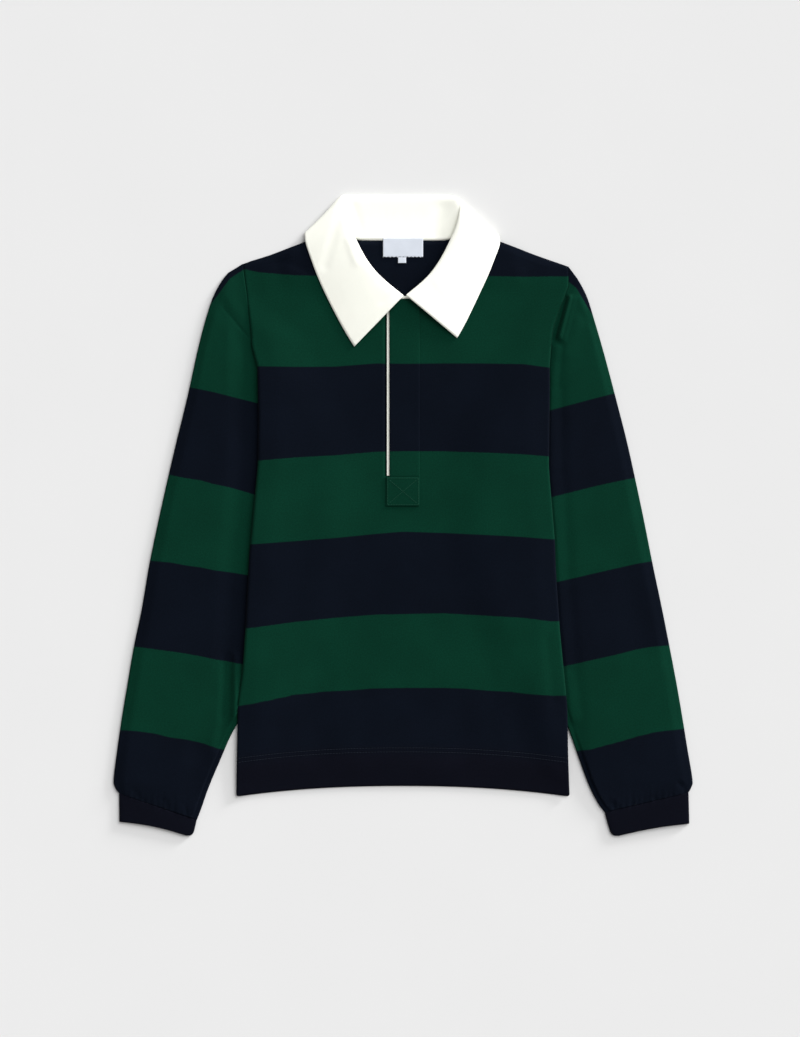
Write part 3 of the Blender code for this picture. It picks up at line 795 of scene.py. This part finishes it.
def make_jersey(name, knit, striped, base):
    """Cotton jersey, striped from the stripe map or in one colour, with painted shade in the
    grooves of the hem rows.
    """
    material, tree = new_material(name)
    weave = add_node(tree, "ShaderNodeGroup", {"Cloth": cloth_place(tree)}, node_tree=knit)
    stripe = add_node(tree, "ShaderNodeUVMap", uv_map="stripe").outputs[0]
    parts = add_node(tree, "ShaderNodeSeparateXYZ", {0: stripe})
    seam = calculate(tree, "MULTIPLY", parts.outputs["Y"], SEAM_SCALE)
    fleck = weave.outputs["Fleck"]
    drift = ramp(tree, weave.outputs["Drift"], 0.3, 0.7, 0.93, 1.07)
    dyed = base
    if striped:
        loop_step = calculate(tree, "MULTIPLY_ADD", fleck, 0.004, parts.outputs["X"])
        wave = calculate(tree, "SINE", calculate(tree, "MULTIPLY", loop_step, math.pi))
        in_green = ramp(tree, wave, -0.012, 0.012, 1.0, 0.0)
        in_hem = ramp(tree, seam, -HEM_DYE_RUN, HEM_DYE_RUN, 1.0, 0.0)
        navy = mixed(tree, in_hem, (*base, 1.0), (*HEM_NAVY, 1.0))
        dyed = mixed(tree, in_green, navy, (*GREEN, 1.0))
    worn = ramp(tree, fleck, 0.0, 1.0, 0.86, 1.14)
    # Twin grooves of the hem rows: they dent the bump and also darken the colour, which is painted
    # shade
    hem_groove_dent_and_shade = calculate(tree, "ADD", peak(tree, seam, -TWIN_HALF_GAP, 1.1),
                       peak(tree, seam, TWIN_HALF_GAP, 1.1))
    shade = calculate(tree, "MULTIPLY", worn, drift)
    # Painted shade: the colour darkens to 0.6 along the hem rows' grooves
    shade = calculate(tree, "MULTIPLY", shade, ramp(tree, hem_groove_dent_and_shade, 0.0, 1.0, 1.0, 0.6))
    height = calculate(tree, "MULTIPLY_ADD", hem_groove_dent_and_shade, -2.0, weave.outputs["Height"])
    return set_surface(material, scaled(tree, dyed, shade), 0.95, 0.03, (height, 0.45, 0.00035),
                       0.012)


def make_twill(name, weave_group, base):
    """White cotton twill."""
    material, tree = new_material(name)
    weave = add_node(tree, "ShaderNodeGroup", {"Cloth": cloth_place(tree)}, node_tree=weave_group)
    shade = ramp(tree, weave.outputs["Shade"], 0.3, 0.7, 0.985, 1.0)
    return set_surface(material, scaled(tree, base, shade), 0.8, 0.2,
                       (weave.outputs["Height"], 0.25, 0.0002), 0.05)


def make_satin(name, base):
    """Woven satin label with fine level ribs."""
    material, tree = new_material(name)
    cloth = cloth_place(tree)
    parts = add_node(tree, "ShaderNodeSeparateXYZ", {0: cloth})
    ribs = waves(tree, parts.outputs["Y"], SATIN_RIBS)
    warp = noise(tree, cloth, 2.5, 2.0, 0.5)
    height = calculate(tree, "MULTIPLY_ADD", warp, 0.6, calculate(tree, "MULTIPLY", ribs, 0.5))
    shade = ramp(tree, noise(tree, cloth, 0.08, 2.0, 0.5), 0.3, 0.7, 0.97, 1.02)
    return set_surface(material, scaled(tree, base, shade), 0.45, 0.4, (height, 0.3, 0.00015))


def make_thread(name, base):
    """Twisted sewing thread."""
    material, tree = new_material(name)
    twist = noise(tree, object_place(tree), 1800.0, 2.0, 0.5)
    shade = ramp(tree, twist, 0.3, 0.7, 0.75, 1.3)
    return set_surface(material, scaled(tree, base, shade), 0.6, 0.1)


# Body panels

def edge_columns(table, y, inset, inward, gap):
    """Fine columns in from one side of a panel, inward 1 or -1, all outside the gap."""
    factor = side_slope(table, y)
    columns = read(table, y) + inward * inset * factor + inward * np.array(EDGE_STEPS) * factor
    limits = gap - inward * LEAST_COLUMN * np.arange(len(EDGE_STEPS), 0, -1)
    return inward * np.minimum(inward * columns, inward * limits)


def panel_grid(heights, gap, inset, side_columns, gap_columns, height):
    """Grid of points over a panel, with fine columns along its outer edges."""
    rows = []
    for y in heights:
        gap_left, gap_right = gap(y)
        left = edge_columns(LEFT_SIDE, y, inset, 1, gap_left)
        right = edge_columns(RIGHT_SIDE, y, inset, -1, gap_right)[::-1]
        x = np.concatenate((
            left, spread(left[-1], gap_left, side_columns)[1:],
            spread(gap_left, gap_right, gap_columns)[1:],
            spread(gap_right, right[0], side_columns)[1:], right[1:]))
        rows.append(np.stack((x, np.full(len(x), y)), axis=1))
    grid = np.array(rows)
    x = grid[:, :, 0]
    y = hem_curve(x, grid[:, :, 1])
    return x, y, height(x, y)


def row_heights(stops, step, inset):
    """Row positions from the hem up, fine at the hem and even between the stops."""
    rows = [stops[0] + inset + edge for edge in EDGE_STEPS]
    rows += list(spread(rows[-1], stops[1], round((stops[1] - rows[-1]) / step)))[1:]
    for low, high in zip(stops[1:], stops[2:]):
        rows += list(spread(low, high, max(1, round((high - low) / step))))[1:]
    return np.array(rows)


def square_edge_distance(x, y):
    """Distance in from the body's sides and hem, square to the edge."""
    left = (x - read(LEFT_SIDE, y)) / side_slope(LEFT_SIDE, y)
    right = (read(RIGHT_SIDE, y) - x) / side_slope(RIGHT_SIDE, y)
    return np.minimum(np.minimum(left, right), y - hem_line(x))


def curled_front(x, y):
    """Front's height with its edge curled down, past the sleeve's end at the armholes."""
    inside = np.clip(square_edge_distance(x, y) / CURL_RADIUS, 0.0, 1.0)
    height = front_height(x, y)
    drop = CURL_DROP + left_rise(x, y)
    lower = np.maximum(height - ARMHOLE_RIM - drop, 0.0)
    drop = drop + lower * within(y, ARMHOLE_ENDS, ARMHOLE_RAMPS)
    return height - drop * (1.0 - np.sqrt(1.0 - (1.0 - inside) ** 2))


def seam_value(x, y):
    """Signed place of each point beside the hem rows."""
    return np.clip(y - hem_line(x) - HEM_DEPTH, -SEAM_NEUTRAL, SEAM_NEUTRAL)


def front_gap(y):
    """Left and right end of the front's gap at a height: the slot, and over it the neckline."""
    half = read(FRONT_NECK, y)
    return (SLOT_LEFT, SLOT_RIGHT) if y < FRONT_NECK[-1][0] else (-half, half)


def back_gap(y):
    """Left and right end of the back's neckline at a height."""
    half = read(BACK_NECK_SIDE, y)
    return -half, half


def body_piece(name, gap, gap_bottom, columns, step, inset, height, stripes, seamed):
    """Panel mesh, open over its gap, with its stripe and cloth maps."""
    heights = row_heights(BODY_STOPS, step, inset)
    x, y, z = panel_grid(heights, gap, inset, *columns, height)
    first = len(EDGE_STEPS) - 1 + columns[0]
    skip = np.zeros(x.shape, dtype=bool)
    skip[heights >= gap_bottom - SAME_HEIGHT, first:first + columns[1]] = True
    points = np.stack((x, y, z), axis=2).reshape(-1, 3)
    value = stripe_value(x, y, BODY_STATIONS, stripes).reshape(-1)
    seam = seam_value(x, y).reshape(-1) if seamed else SEAM_NEUTRAL
    points, faces, (stripe_map,) = used_only(points, grid_faces(*x.shape, skip),
                                             stripe_columns(value, seam))
    item = new_piece(name, points, faces)
    add_map(item, "stripe", stripe_map)
    add_map(item, "cloth", points[:, :2] * MM)
    return thicken(item, JERSEY_SHELL)


def make_body(jersey):
    """Back, then front, which lies on it."""
    stripes = ((BACK_FIRST_STRIPE,) * len(BODY_STATIONS),) + BODY_STRIPES[1:]
    back = body_piece("back_cloth", back_gap, BACK_NECK_Y, BACK_COLUMNS, BACK_STEP, BACK_INSET,
                      back_height, stripes, False)
    finish_piece(back, jersey, "back")
    front = body_piece("front_cloth", front_gap, SLOT_BOTTOM, FRONT_COLUMNS, FRONT_STEP, 0.0,
                       curled_front, BODY_STRIPES, True)
    finish_piece(front, jersey, "front")


# Sleeves and cuffs

def finer(stations, steps):
    """Smooth curve through the rows of a table, steps rows for each of its own."""
    table = np.array(stations)
    padded = np.vstack((2 * table[0] - table[1], table, 2 * table[-1] - table[-2]))
    rows = []
    for k in range(len(table) - 1):
        p0, p1, p2, p3 = padded[k:k + 4]
        for t in spread(0.0, 1.0, steps)[:-1]:
            rows.append(0.5 * (2 * p1 + (p2 - p0) * t + (2 * p0 - 5 * p1 + 4 * p2 - p3) * t ** 2
                               + (3 * p1 - p0 - 3 * p2 + p3) * t ** 3))
    rows.append(table[-1])
    return np.array(rows)


def sleeve_top(x, y, from_body, from_outer, dip):
    """Upper face of a sleeve: flat under the body, sunk by dip at its edge, fuller beside it."""
    start = SLEEVE_PUFF_START + DIP_PUFF_SHIFT * dip / SLEEVE_DIP
    beside_body = smooth((from_body - start) / SLEEVE_PUFF_WIDTH)
    inside = smooth(from_outer / SLEEVE_EDGE_WIDTH)
    near_folds = fold_height(x, y, SLEEVE_FOLDS)
    near_folds = near_folds * smooth(
        from_body / np.where(near_folds > 0.0, RIDGE_RAMP, TROUGH_RAMP)) * inside
    full = SLEEVE_FLAT + (SLEEVE_PUFF + fold_height(x, y)) * beside_body * inside
    sunk = dip * smooth(1.0 - from_body / SLEEVE_DIP_WIDTH) * inside
    return np.maximum(full + near_folds - sunk, SLEEVE_LEAST)


def fold_points(end, before, angles):
    """Round fold of a flat tube's loop, past the end of its top."""
    radius = SLEEVE_FLAT / 2
    outward = end - before
    outward = outward / norm(outward)
    return [(*(end + outward * radius * math.cos(angle)), radius + radius * math.sin(angle))
            for angle in angles]


def tube_loop(top, heights):
    """Closed loop of a flat tube: along the top, round the inner fold, back and round."""
    angles = math.pi * (0.5 - np.arange(1, ARC_POINTS + 1) / (ARC_POINTS + 1))
    loop = [(*point, height) for point, height in zip(top, heights)]
    loop += fold_points(top[-1], top[-2], angles)
    loop += [(*point, UNDERSIDE) for point in top[::-1][::UNDER_STEP]]
    return loop + fold_points(top[0], top[1], angles[::-1])


def tube_piece(name, loops, stripe_map, flip):
    """Flat cloth tube, open at both ends, over its loops."""
    count = loops.shape[1]
    faces = []
    for s in range(len(loops) - 1):
        for i in range(count):
            j = (i + 1) % count
            corners = (s * count + i, s * count + j, (s + 1) * count + j, (s + 1) * count + i)
            faces.append(corners[::-1] if flip else corners)
    item = new_piece(name, loops.reshape(-1, 3), faces)
    add_map(item, "stripe", stripe_map)
    add_map(item, "cloth", tube_cloth_map(loops))
    return thicken(item, JERSEY_SHELL, -1.0)


def along_sections(loops):
    """Length from the first section, for every point of the loops."""
    middle = loops[:, :, :2].mean(axis=1)
    steps = norm(np.diff(middle, axis=0), axis=1)
    return np.concatenate(([0.0], np.cumsum(steps)))


def across_section(loops):
    """Length round each section from its first point."""
    steps = norm(np.diff(loops, axis=1), axis=2)
    return np.concatenate((np.zeros((len(loops), 1)), np.cumsum(steps, axis=1)), axis=1)


def tube_cloth_map(loops):
    """Cloth coordinates of a tube's points, in metres."""
    across = across_section(loops)
    along = np.broadcast_to(along_sections(loops)[:, None], across.shape)
    return np.stack((across, along), axis=2).reshape(-1, 2) * MM


def make_sleeve(side, stations, side_table, stripes, dip, jersey):
    """Sleeve as a flat tube from the armhole to the cuff's seam."""
    edge_inset = SLEEVE_FLAT / 2
    loops = []
    rows = finer(stations, SLEEVE_STEPS)
    plans = []
    for row in rows:
        outer, cross = row[0:2], row[2:4]
        shares = spread(edge_inset / norm(outer - cross), 1.0, SHOWN_COLUMNS)
        plans.append(outer + (cross - outer) * shares[:, None])
    plans[0][:, 0] = read(side_table, plans[0][:, 1]) + math.copysign(ARMHOLE_GAP, rows[0][0])
    for index in range(1, SLEEVE_STEPS):
        plans[index] = plans[0] + (plans[SLEEVE_STEPS] - plans[0]) * index / SLEEVE_STEPS
    for row, shown in zip(rows, plans):
        cross, inner = row[2:4], row[4:6]
        from_outer = norm(shown - shown[0], axis=1) + edge_inset
        from_body = np.abs(shown[:, 0] - read(side_table, shown[:, 1]))
        near_seam = row_place(stations, row)
        dipping = dip * within(shown[:, 1], DIP_ENDS, DIP_RAMPS)
        heights = sleeve_top(shown[:, 0], shown[:, 1], from_body, from_outer, dipping)
        heights = SLEEVE_FLAT + (heights - SLEEVE_FLAT) * (1.0 - GATHER_FLATNESS * near_seam)
        heights += gathers(shown[:, 0], near_seam)
        hidden_end = 1.0 - edge_inset / norm(inner - cross)
        hidden = cross + (inner - cross) * spread(0.0, hidden_end, HIDDEN_COLUMNS)[1:, None]
        top = np.vstack((shown, hidden))
        tops = np.concatenate((heights, np.full(len(hidden), SLEEVE_FLAT)))
        loops.append(tube_loop(top, tops))
    loops = np.array(loops)
    x = loops[:, :, 0].reshape(-1)
    y = loops[:, :, 1].reshape(-1)
    value = stripe_value(np.abs(x), y, SLEEVE_STATIONS, stripes)
    item = tube_piece(f"sleeve_{side}_cloth", loops, stripe_columns(value), side == "left")
    finish_piece(item, jersey, f"sleeve_{side}")


def row_place(stations, row):
    """How near a section is to the cuff's seam, 1 at the seam."""
    reach = math.hypot(row[0] - stations[-1][0], row[1] - stations[-1][1])
    return max(0.0, 1.0 - reach / GATHER_REACH)


def gathers(x, near_seam):
    """Small uneven waves beside the cuff's seam."""
    along = np.abs(x)
    swell = np.sin(along * 0.95 + 0.6 * np.sin(along * 0.21)) + 0.6 * np.sin(along * 0.43 + 1.0)
    return GATHER_HEIGHT * swell * near_seam ** 1.5


def make_cuff(side, stations, jersey):
    """Cuff as a flat tube from its seam to its end."""
    edge_inset = SLEEVE_FLAT / 2
    loops = []
    rows = finer(stations, CUFF_STEPS)
    length = abs(rows[-1][3] - rows[0][3])
    for index, (outer_x, outer_y, inner_x, inner_y, bow) in enumerate(rows):
        outer = np.array((outer_x, outer_y))
        across = np.array((inner_x, inner_y)) - outer
        width = norm(across)
        from_end = length * (1.0 - index / (len(rows) - 1))
        past = max(0.0, CUFF_CORNER - from_end)
        corner = CUFF_CORNER - math.sqrt(CUFF_CORNER ** 2 - past ** 2)
        shares = spread(edge_inset / width, 1.0 - (edge_inset + corner) / width,
                        CUFF_COLUMNS)
        fullness = np.sin(math.pi * (shares - shares[0]) / (shares[-1] - shares[0]))
        fullness = np.maximum(fullness, 0.0)
        top = outer + across * shares[:, None]
        top[:, 1] += bow * np.sin(math.pi * shares)
        near_seam = max(0.0, 1.0 - index / CUFF_SEAM_RINGS)
        tops = SLEEVE_FLAT + CUFF_PUFF * np.sqrt(fullness)
        tops = tops + gathers(top[:, 0], near_seam) * fullness
        tops = tops - CUFF_SEAM_DENT * near_seam ** 3 * fullness
        loops.append(tube_loop(top, tops))
    tuck = np.array(loops[0])
    middle = tuck[:, :2].mean(axis=0)
    toward_sleeve = -(rows[1][:2] + rows[1][2:4] - rows[0][:2] - rows[0][2:4])
    toward_sleeve = toward_sleeve / norm(toward_sleeve)
    shrink = 1.0 - 2.0 * CUFF_TUCK_INSET / norm(rows[0][:2] - rows[0][2:4])
    tuck[:, :2] = middle + (tuck[:, :2] - middle) * shrink + toward_sleeve * CUFF_TUCK
    half = SLEEVE_FLAT / 2
    tuck[:, 2] = half + (np.minimum(tuck[:, 2], SLEEVE_FLAT) - half) * CUFF_TUCK_FLATNESS
    loops.insert(0, tuck)
    loops = np.array(loops)
    stripe_map = np.full((loops.shape[0] * loops.shape[1], 2), SEAM_NEUTRAL / SEAM_SCALE)
    item = tube_piece(f"cuff_{side}_cloth", loops, stripe_map, side == "left")
    finish_piece(item, jersey, f"cuff_{side}")


# Collar

def fall_height(x, y):
    """Lowest middle height of a fall that lies on the front, over the strip where that is."""
    on_strip = STRIP_LEFT - STRIP_MARGIN < x < STRIP_RIGHT + STRIP_MARGIN
    strip = CLOTH + SEAM_GAP if on_strip else 0.0
    return float(front_height(x, y)) + (CLOTH + COLLAR_CLOTH) / 2 + FALL_GAP + strip


def collar_section(neck, roll, edge, edge_height, turn):
    """Points of one collar section from the neck seam over the roll to the outer edge."""
    neck = Vector(neck)
    roll = Vector(roll)
    on_front = edge_height is None
    edge = Vector((*edge, fall_height(*edge) if on_front else edge_height))
    to_neck = (neck - roll).normalized()
    to_edge = (edge - roll).normalized()
    inward = -math.copysign(math.sqrt(1.0 - turn * turn), roll.x)
    apart = Vector((inward, 0.0, turn))
    sideways = 1.0 - turn * turn
    radius = ROLL_RADIUS + (BACK_ROLL_RADIUS - ROLL_RADIUS) * max(turn, 0.0)
    radius += SIDE_ROLL_EXTRA * sideways
    reach = ROLL_REACH + SIDE_ROLL_EXTRA * sideways
    neck_side = roll + to_neck * reach + apart * radius
    edge_side = roll + to_edge * reach - apart * radius
    stand = neck.lerp(neck_side, 0.5) - Vector((0.0, 0.0, BACK_STAND_SAG * max(turn, 0.0)))
    crown = Vector((0.0, 0.0, FALL_CROWN * max(-turn, 0.0)))
    fall = [edge_side.lerp(edge, share) + crown for share in FALL_SHARES]
    if on_front:
        for point in fall:
            point.z = max(point.z, fall_height(point.x, point.y))
    return [neck, stand, neck_side, roll, edge_side, *fall, edge]


def make_collar(twill):
    stations = list(reversed(COLLAR_LEFT)) + [COLLAR_BACK_MIDDLE] + list(COLLAR_RIGHT)
    rows = [[tuple(point) for point in collar_section(*station)] for station in stations]
    cage = np.array(rows)
    item = new_piece("collar_cloth", cage.reshape(-1, 3), grid_faces(*cage.shape[:2]))
    across = across_section(cage)
    along = np.broadcast_to(along_sections(cage)[:, None], across.shape)
    add_map(item, "cloth", np.stack((across, along), axis=2).reshape(-1, 2) * MM)
    soft = item.modifiers.new("soft", "SUBSURF")
    soft.levels = 3
    soft.render_levels = 3
    soft.boundary_smooth = "PRESERVE_CORNERS"
    apply_modifiers(item)
    mesh = item.data
    places = np.empty(len(mesh.vertices) * 3)
    mesh.vertices.foreach_get("co", places)
    places = places.reshape(-1, 3)
    x, y, z = places.T / MM
    on_top = smooth((z - LEAF_LEVEL) / LEAF_LEVEL_RAMP)
    on_stand = (smooth((z - STAND_LEVEL) / STAND_LEVEL_RAMP)
                * smooth((x - STAND_LEFT) / STAND_LEFT_RAMP)
                * within(y, STAND_ENDS, STAND_RAMPS))
    creases = fold_height(x, y, LEAF_CREASES) * on_top
    creases += fold_height(x, y, STAND_CREASES) * on_stand * (1.0 - on_top)
    places[:, 2] += creases * MM
    mesh.vertices.foreach_set("co", places.ravel())
    mesh.update()
    thicken(item, COLLAR_SHELL)
    mesh.shade_smooth()
    finish_piece(item, twill, "collar")


# Placket and labels

def flat_piece(name, node, material, ends, height, step, edge_drop,
               thickness=JERSEY_SHELL, fray=0.0):
    """Straight-edged sheet that follows the surface below it, its edges turned down."""
    left, right, bottom, top = ends
    x = spread(left, right, max(2, round((right - left) / step)))
    y = spread(bottom, top, max(2, round((top - bottom) / step)))
    rim = np.array(RIM_LINES)
    x = np.unique(np.concatenate((x, left + rim, right - rim)))
    y = np.unique(np.concatenate((y, bottom + rim, top - rim)))
    x, y = np.meshgrid(x, y)
    inside = np.minimum(np.minimum(x - left, right - x), np.minimum(y - bottom, top - y))
    z = height(x, y) - edge_drop * (1.0 - smooth(RIM_START + inside / RIM_WIDTH))
    jags = np.sin(2.3 * x) * np.sin(0.83 * x + 0.7) + 0.5 * np.sin(5.1 * x)
    y = y + fray * jags * smooth(1.0 - (y - bottom) / RIM_WIDTH)
    item = new_piece(name, np.stack((x, y, z), axis=2).reshape(-1, 3), grid_faces(*x.shape))
    plan = np.stack((x, y), axis=2).reshape(-1, 2)
    value = stripe_value(plan[:, 0], plan[:, 1], BODY_STATIONS, BODY_STRIPES)
    add_map(item, "stripe", stripe_columns(value))
    add_map(item, "cloth", plan * MM)
    thicken(item, thickness)
    finish_piece(item, material, node)


def make_placket(jersey, twill):
    flat_piece("placket_lower_cloth", "placket_lower", twill,
               (SLOT_LEFT + SLIVER_INSET, SLOT_RIGHT - SEAM_GAP, SLOT_BOTTOM + SEAM_GAP,
                LOWER_STRIP_TOP), under_strip_height, step=3.5, edge_drop=0.1)
    flat_piece("placket_upper_cloth", "placket_upper", jersey,
               (STRIP_LEFT, STRIP_RIGHT, STRIP_BOTTOM, UPPER_STRIP_TOP), placket_height,
               step=3.0, edge_drop=0.35)
    flat_piece("placket_box_cloth", "placket_box", jersey,
               (BOX_LEFT, STRIP_RIGHT, BOX_BOTTOM, BOX_TOP), placket_height,
               step=2.5, edge_drop=0.35)


def make_labels(satin):
    flat_piece("neck_label", "label", satin,
               (-LABEL_HALF_WIDTH, LABEL_HALF_WIDTH, LABEL_BOTTOM, LABEL_TOP), label_height,
               step=0.7, edge_drop=0.2, thickness=LABEL_SHELL, fray=LABEL_FRAY)
    flat_piece("size_tab_cloth", "size_tab", satin,
               (TAB_LEFT, TAB_RIGHT, TAB_BOTTOM, TAB_TOP), label_height,
               step=1.5, edge_drop=0.1, thickness=LABEL_SHELL)


# Stitching

def stitch_row(points, length, gap):
    """Start and end of each stitch along a line of points."""
    points = np.array(points, dtype=float)
    steps = norm(np.diff(points, axis=0), axis=1)
    run = np.concatenate(([0.0], np.cumsum(steps)))
    count = max(1, int((run[-1] + gap) / (length + gap)))
    pitch = (run[-1] + gap) / count
    starts = np.arange(count) * pitch
    ends = starts + pitch - gap

    def place(s):
        return np.stack([np.interp(s, run, points[:, k]) for k in (0, 1)], axis=1)

    return list(zip(place(starts), place(ends)))


def make_stitches(name, rows, height, thread, material):
    """One mesh of all the stitches of the rows, each a short thread on the jersey."""
    sides = THREAD_SIDES
    vertices = []
    faces = []
    for start, end in rows:
        direction = (end - start) / norm(end - start)
        across = np.array((-direction[1], direction[0]))
        base = len(vertices)
        for share, size in THREAD_PROFILE:
            middle = start + (end - start) * share
            level = float(height(middle[0], middle[1])) + JERSEY_SHELL / 2
            for side in range(sides):
                angle = math.tau * side / sides
                reach = across * thread * size * math.cos(angle)
                vertices.append((*(middle + reach), level + thread * THREAD_RISE
                                 + thread * THREAD_FLATNESS * size * math.sin(angle)))
        for ring in range(len(THREAD_PROFILE) - 1):
            for side in range(sides):
                low = base + ring * sides + side
                other = base + ring * sides + (side + 1) % sides
                faces.append((low, other, other + sides, low + sides))
        faces.append(tuple(base + side for side in reversed(range(sides))))
        last = base + (len(THREAD_PROFILE) - 1) * sides
        faces.append(tuple(last + side for side in range(sides)))
    item = new_piece(name, vertices, faces)
    item.data.materials.append(material)
    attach(item, "root")


def make_stitching(navy_thread, green_thread):
    x = np.linspace(-HEM_ROW_END, HEM_ROW_END, HEM_ROW_POINTS)
    hem = []
    for offset in (-TWIN_HALF_GAP, TWIN_HALF_GAP):
        line = np.stack((x, hem_line(x) + HEM_DEPTH + offset), axis=1)
        hem += stitch_row(line, *HEM_STITCH)
    make_stitches("hem_stitches", hem, curled_front, HEM_THREAD, navy_thread)
    left, right = BOX_LEFT + BOX_ROW_INSET, STRIP_RIGHT - BOX_ROW_INSET
    low, high = BOX_BOTTOM + BOX_ROW_INSET, BOX_TOP - BOX_ROW_INSET
    corners = ((left, low), (right, low), (right, high), (left, high))
    lines = list(zip(corners, corners[1:] + corners[:1]))
    left, right, low, high = (left + CROSS_INSET, right - CROSS_INSET, low + CROSS_INSET,
                              high - CROSS_INSET)
    lines += [((left, low), (right, high)), ((left, high), (right, low))]
    box = []
    for line in lines:
        box += stitch_row(line, *BOX_STITCH)
    make_stitches("box_stitches", box, placket_height, BOX_THREAD, green_thread)


# Floor, light and camera

def make_stage():
    """Pale floor that the shirt lies on."""
    corners = ((-1, -1), (1, -1), (1, 1), (-1, 1))
    item = new_piece("floor", [(x * FLOOR_HALF, y * FLOOR_HALF, 0.0) for x, y in corners],
                     [(0, 1, 2, 3)])
    material, tree = new_material("floor_paper")
    grain = ramp(tree, noise(tree, object_place(tree), 6.0, 3.0, 0.5), 0.3, 0.7, 0.996, 1.004)
    item.data.materials.append(
        set_surface(material, scaled(tree, (FLOOR_GREY,) * 3, grain), 0.9, 0.1))


def make_light():
    """Even studio fill, with a soft key and a lower skimming light from the upper right."""
    world = bpy.data.worlds.new("studio")
    world.use_nodes = True
    background = world.node_tree.nodes["Background"]
    background.inputs["Color"].default_value = (1.0, 1.0, 1.0, 1.0)
    background.inputs["Strength"].default_value = FILL_STRENGTH
    scene = bpy.context.scene
    scene.world = world
    turn = math.radians(LIGHT_TURN)
    for name, strength, softness, rise in (("key", KEY_STRENGTH, KEY_SOFTNESS, KEY_RISE),
                                           ("skim", SKIM_STRENGTH, SKIM_SOFTNESS, SKIM_RISE)):
        data = bpy.data.lights.new(name, "SUN")
        data.energy = strength
        data.angle = math.radians(softness)
        level = math.cos(math.radians(rise))
        toward = Vector((math.cos(turn) * level, math.sin(turn) * level,
                         math.sin(math.radians(rise))))
        add_object(name, data).rotation_euler = toward.to_track_quat("Z", "Y").to_euler()
    scene.view_settings.view_transform = "Standard"
    scene.view_settings.look = "None"


def make_camera():
    data = bpy.data.cameras.new("camera")
    data.lens = CAMERA_LENS
    data.sensor_width = CAMERA_SENSOR
    data.sensor_fit = "AUTO"
    distance = PIXEL * PHOTO_HEIGHT * CAMERA_LENS / CAMERA_SENSOR
    item = add_object("camera", data)
    item.location = (CAMERA_AIM[0] * MM, CAMERA_AIM[1] * MM, (distance + CLOTH_LEVEL) * MM)
    bpy.context.scene.camera = item


def main():
    knit = make_knit_group()
    weave = make_twill_group()
    jersey = make_jersey("striped_jersey", knit, True, NAVY)
    navy = make_jersey("navy_jersey", knit, False, HEM_NAVY)
    twill = make_twill("white_twill", weave, TWILL_WHITE)
    satin = make_satin("label_satin", LABEL_GREY)
    navy_thread = make_thread("navy_thread", THREAD_NAVY)
    green_thread = make_thread("green_thread", THREAD_GREEN)
    make_body(jersey)
    make_sleeve("left", LEFT_SLEEVE, LEFT_SIDE, LEFT_STRIPES, SLEEVE_DIP, jersey)
    make_sleeve("right", RIGHT_SLEEVE, RIGHT_SIDE, RIGHT_STRIPES, 0.0, jersey)
    make_cuff("left", LEFT_CUFF, navy)
    make_cuff("right", RIGHT_CUFF, navy)
    make_collar(twill)
    make_placket(jersey, twill)
    make_labels(satin)
    make_stitching(navy_thread, green_thread)
    make_stage()
    make_light()
    make_camera()


main()
